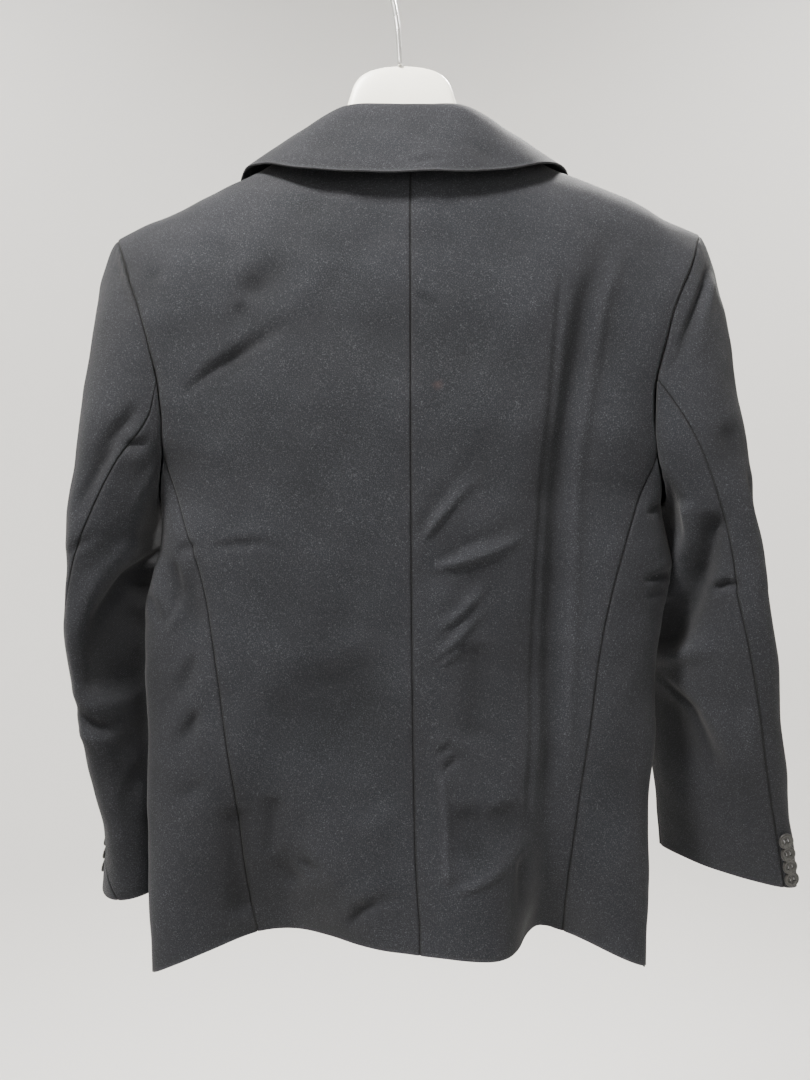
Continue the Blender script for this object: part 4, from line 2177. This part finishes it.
# %% Buttons in place
FRONT_BUTTON = 0.020
CUFF_BUTTON = 0.0138
CUFF_BUTTON_Z = (-0.8012, -0.8135, -0.8258, -0.8381)
CUFF_BUTTON_SHARE = {"left": 0.040, "right": 0.300}
BUTTON_TILT = math.radians(8.0)
BUTTON_LIFT = 0.0009
CUFF_BLANK = turned_button("cuff_blank", CUFF_BUTTON)
FRONT_BLANK = turned_button("front_blank", FRONT_BUTTON)
print("one button has", len(CUFF_BLANK.polygons), "faces")


def add_button(node, blank, size, place, away, up):
    own = horn(f"{node}_horn")
    piece = place_button(f"turned_{node}", blank, size, button_frame(place, away, up), own)
    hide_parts(node)
    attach(piece, "root")


for side in SIDES:
    for index, z in enumerate(CUFF_BUTTON_Z):
        row = np.array(CAP_ROWS + ARM_ROWS * (z - BICEP_Z) / (CUFF_Z[side] - BICEP_Z))
        share = np.array(CUFF_BUTTON_SHARE[side])
        here = sleeve_grid(side, share, row)
        away = sleeve_out(side, share, row)
        up = unit(sleeve_grid(side, share, row - 1e-2) - sleeve_grid(side, share, row + 1e-2))
        tilted = away * math.cos(BUTTON_TILT) + up * math.sin(BUTTON_TILT)
        node = f"cuff_button_{side}_{index + 1}"
        add_button(node, CUFF_BLANK, CUFF_BUTTON, here + away * BUTTON_LIFT, tilted, up)
x, z = np.array(0.0), np.array(BREAK_Z - 0.020)
away = body_normal(x, z, "front")
place = np.array([0.0, float(body_y(x, z, "front")) - FRONT_STEP, float(z)]) + away * 0.0004
add_button("front_button", FRONT_BLANK, FRONT_BUTTON, place, away, np.array([0, 0, 1.0]))
print("front button at", place.round(4))

# %% [markdown]
# ## Buttonholes, stitch by stitch
#
# A worked buttonhole is a row of short stitches side by side round a slit. Nobody would
# place two hundred of them by hand, so a small node tree does: it walks along a curve, puts
# one stitch at each step, square to the curve, and makes the whole row real.

# %% A tree that sews along a curve
def stitch_tree():
    """Short rounded stitches, one after another along a curve, each a little different."""
    tree = bpy.data.node_groups.new("sew_along", "GeometryNodeTree")
    face = tree.interface
    face.new_socket("Curve", in_out="INPUT", socket_type="NodeSocketGeometry")
    for name, value in (("Spacing", 0.0006), ("Stitch Length", 0.0022), ("Thread", 0.00028)):
        face.new_socket(name, in_out="INPUT", socket_type="NodeSocketFloat").default_value = value
    face.new_socket("Seed", in_out="INPUT", socket_type="NodeSocketInt").default_value = 5
    face.new_socket("Material", in_out="INPUT", socket_type="NodeSocketMaterial")
    face.new_socket("Stitches", in_out="OUTPUT", socket_type="NodeSocketGeometry")
    start = tree.nodes.new("NodeGroupInput").outputs
    end = tree.nodes.new("NodeGroupOutput").inputs
    curve, gap = start["Curve"], start["Spacing"]
    mode = {"mode": "LENGTH"}
    steps = add_node(tree, "GeometryNodeCurveToPoints", mode, Curve=curve, Length=gap).outputs
    ball = {"Segments": 8, "Rings": 6, "Radius": 0.5}
    one = add_node(tree, "GeometryNodeMeshUVSphere", values=ball).outputs["Mesh"]
    long, thick = start["Stitch Length"], start["Thread"]
    size = add_node(tree, "CombineXYZ", X=long, Y=thick, Z=thick).outputs[0]
    shape = add_node(tree, "GeometryNodeTransform", Geometry=one, Scale=size).outputs[0]
    uneven = add_node(
        tree,
        "FunctionNodeRandomValue",
        {"data_type": "FLOAT"},
        {2: 0.88, 3: 1.10},
        Seed=start["Seed"],
    )
    sewn = add_node(
        tree,
        "GeometryNodeInstanceOnPoints",
        Points=steps["Points"],
        Instance=shape,
        Rotation=steps["Rotation"],
        Scale=uneven.outputs[1],
    )
    real = add_node(tree, "GeometryNodeRealizeInstances", Geometry=sewn.outputs[0]).outputs[0]
    paint = add_node(
        tree, "GeometryNodeSetMaterial", Geometry=real, Material=start["Material"]
    )
    tree.links.new(paint.outputs[0], end["Stitches"])
    return tree


SEW = stitch_tree()
print("sewing nodes:", len(SEW.nodes))

# %% Sewing along a path
def sew(name, path, settings, material):
    """A plain mesh of the stitches along a path, lying on the cloth."""
    data = bpy.data.curves.new(name, "CURVE")
    data.dimensions = "3D"
    data.twist_mode = "Z_UP"
    line = data.splines.new("POLY")
    line.points.add(len(path) - 1)
    for point, place in zip(line.points, path):
        point.co = (*place, 1.0)
    carrier = add_object(name, data)
    nodes = carrier.modifiers.new("sew", "NODES")
    nodes.node_group = SEW
    sockets = {item.name: item.identifier for item in SEW.interface.items_tree if item.in_out == "INPUT"}
    for key, value in {**settings, "Material": material}.items():
        nodes[sockets[key]] = value
    made = baked(carrier)
    made.shade_smooth()
    made.name = name
    piece = add_object(name, made)
    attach(piece, "root")
    return piece


print("inputs of a seam:", [item.name for item in SEW.interface.items_tree][:6])

# %% Two buttonholes
def on_panel(name, x, z):
    """The point of a panel's outer face nearest to a place across and up."""
    points, _ = panels[name]
    far = np.hypot(points[..., 0] - x, points[..., 2] - z)
    return points[np.unravel_index(np.argmin(far), far.shape)]


def slit_path(name, start, end, wide, off=0.0001):
    """Once round a slit: out along one side, round the eye and back along the other."""
    start, end = np.array(start), np.array(end)
    way = (end - start) / np.linalg.norm(end - start)
    across = np.array([-way[1], way[0]])
    first, last = on_panel(name, *start), on_panel(name, *end)
    path = []
    for side_way, shares in ((1, np.linspace(0, 1, 25)), (-1, np.linspace(1, 0, 25))):
        for share in shares:
            x, z = blend(start, end, share) + across * wide * side_way
            y = blend(first[1], last[1], share) - off
            path.append((x, y, z))
    path.append(path[0])
    return path


thread_grey = thread("buttonhole_thread", (0.085, 0.088, 0.098, 1))
settings = {"Spacing": 0.00042, "Stitch Length": 0.0021, "Thread": 0.00042, "Seed": 3}
lapel_slit = slit_path("lapel_left", (0.122, -0.300), (0.104, -0.308), 0.0011)
lapel_hole = sew("lapel_buttonhole", lapel_slit, settings, thread_grey)
front_slit = slit_path("front_right", (-0.004, -0.605), (0.010, -0.605), 0.0011)
front_hole = sew("front_buttonhole", front_slit, settings, thread_grey)
print("faces of the stitches:", len(lapel_hole.data.polygons), len(front_hole.data.polygons))

# %% [markdown]
# ## What is cloth
#
# Each panel is declared as a sheet that hangs, with its flat size: its longest row, its
# longest column and its area, measured along the cloth itself. A solver can then treat it
# as cloth.

# %% Sheets
for name, piece in cloth.items():
    width, length, area = flat_sizes[name]
    print(name, width, length, area)
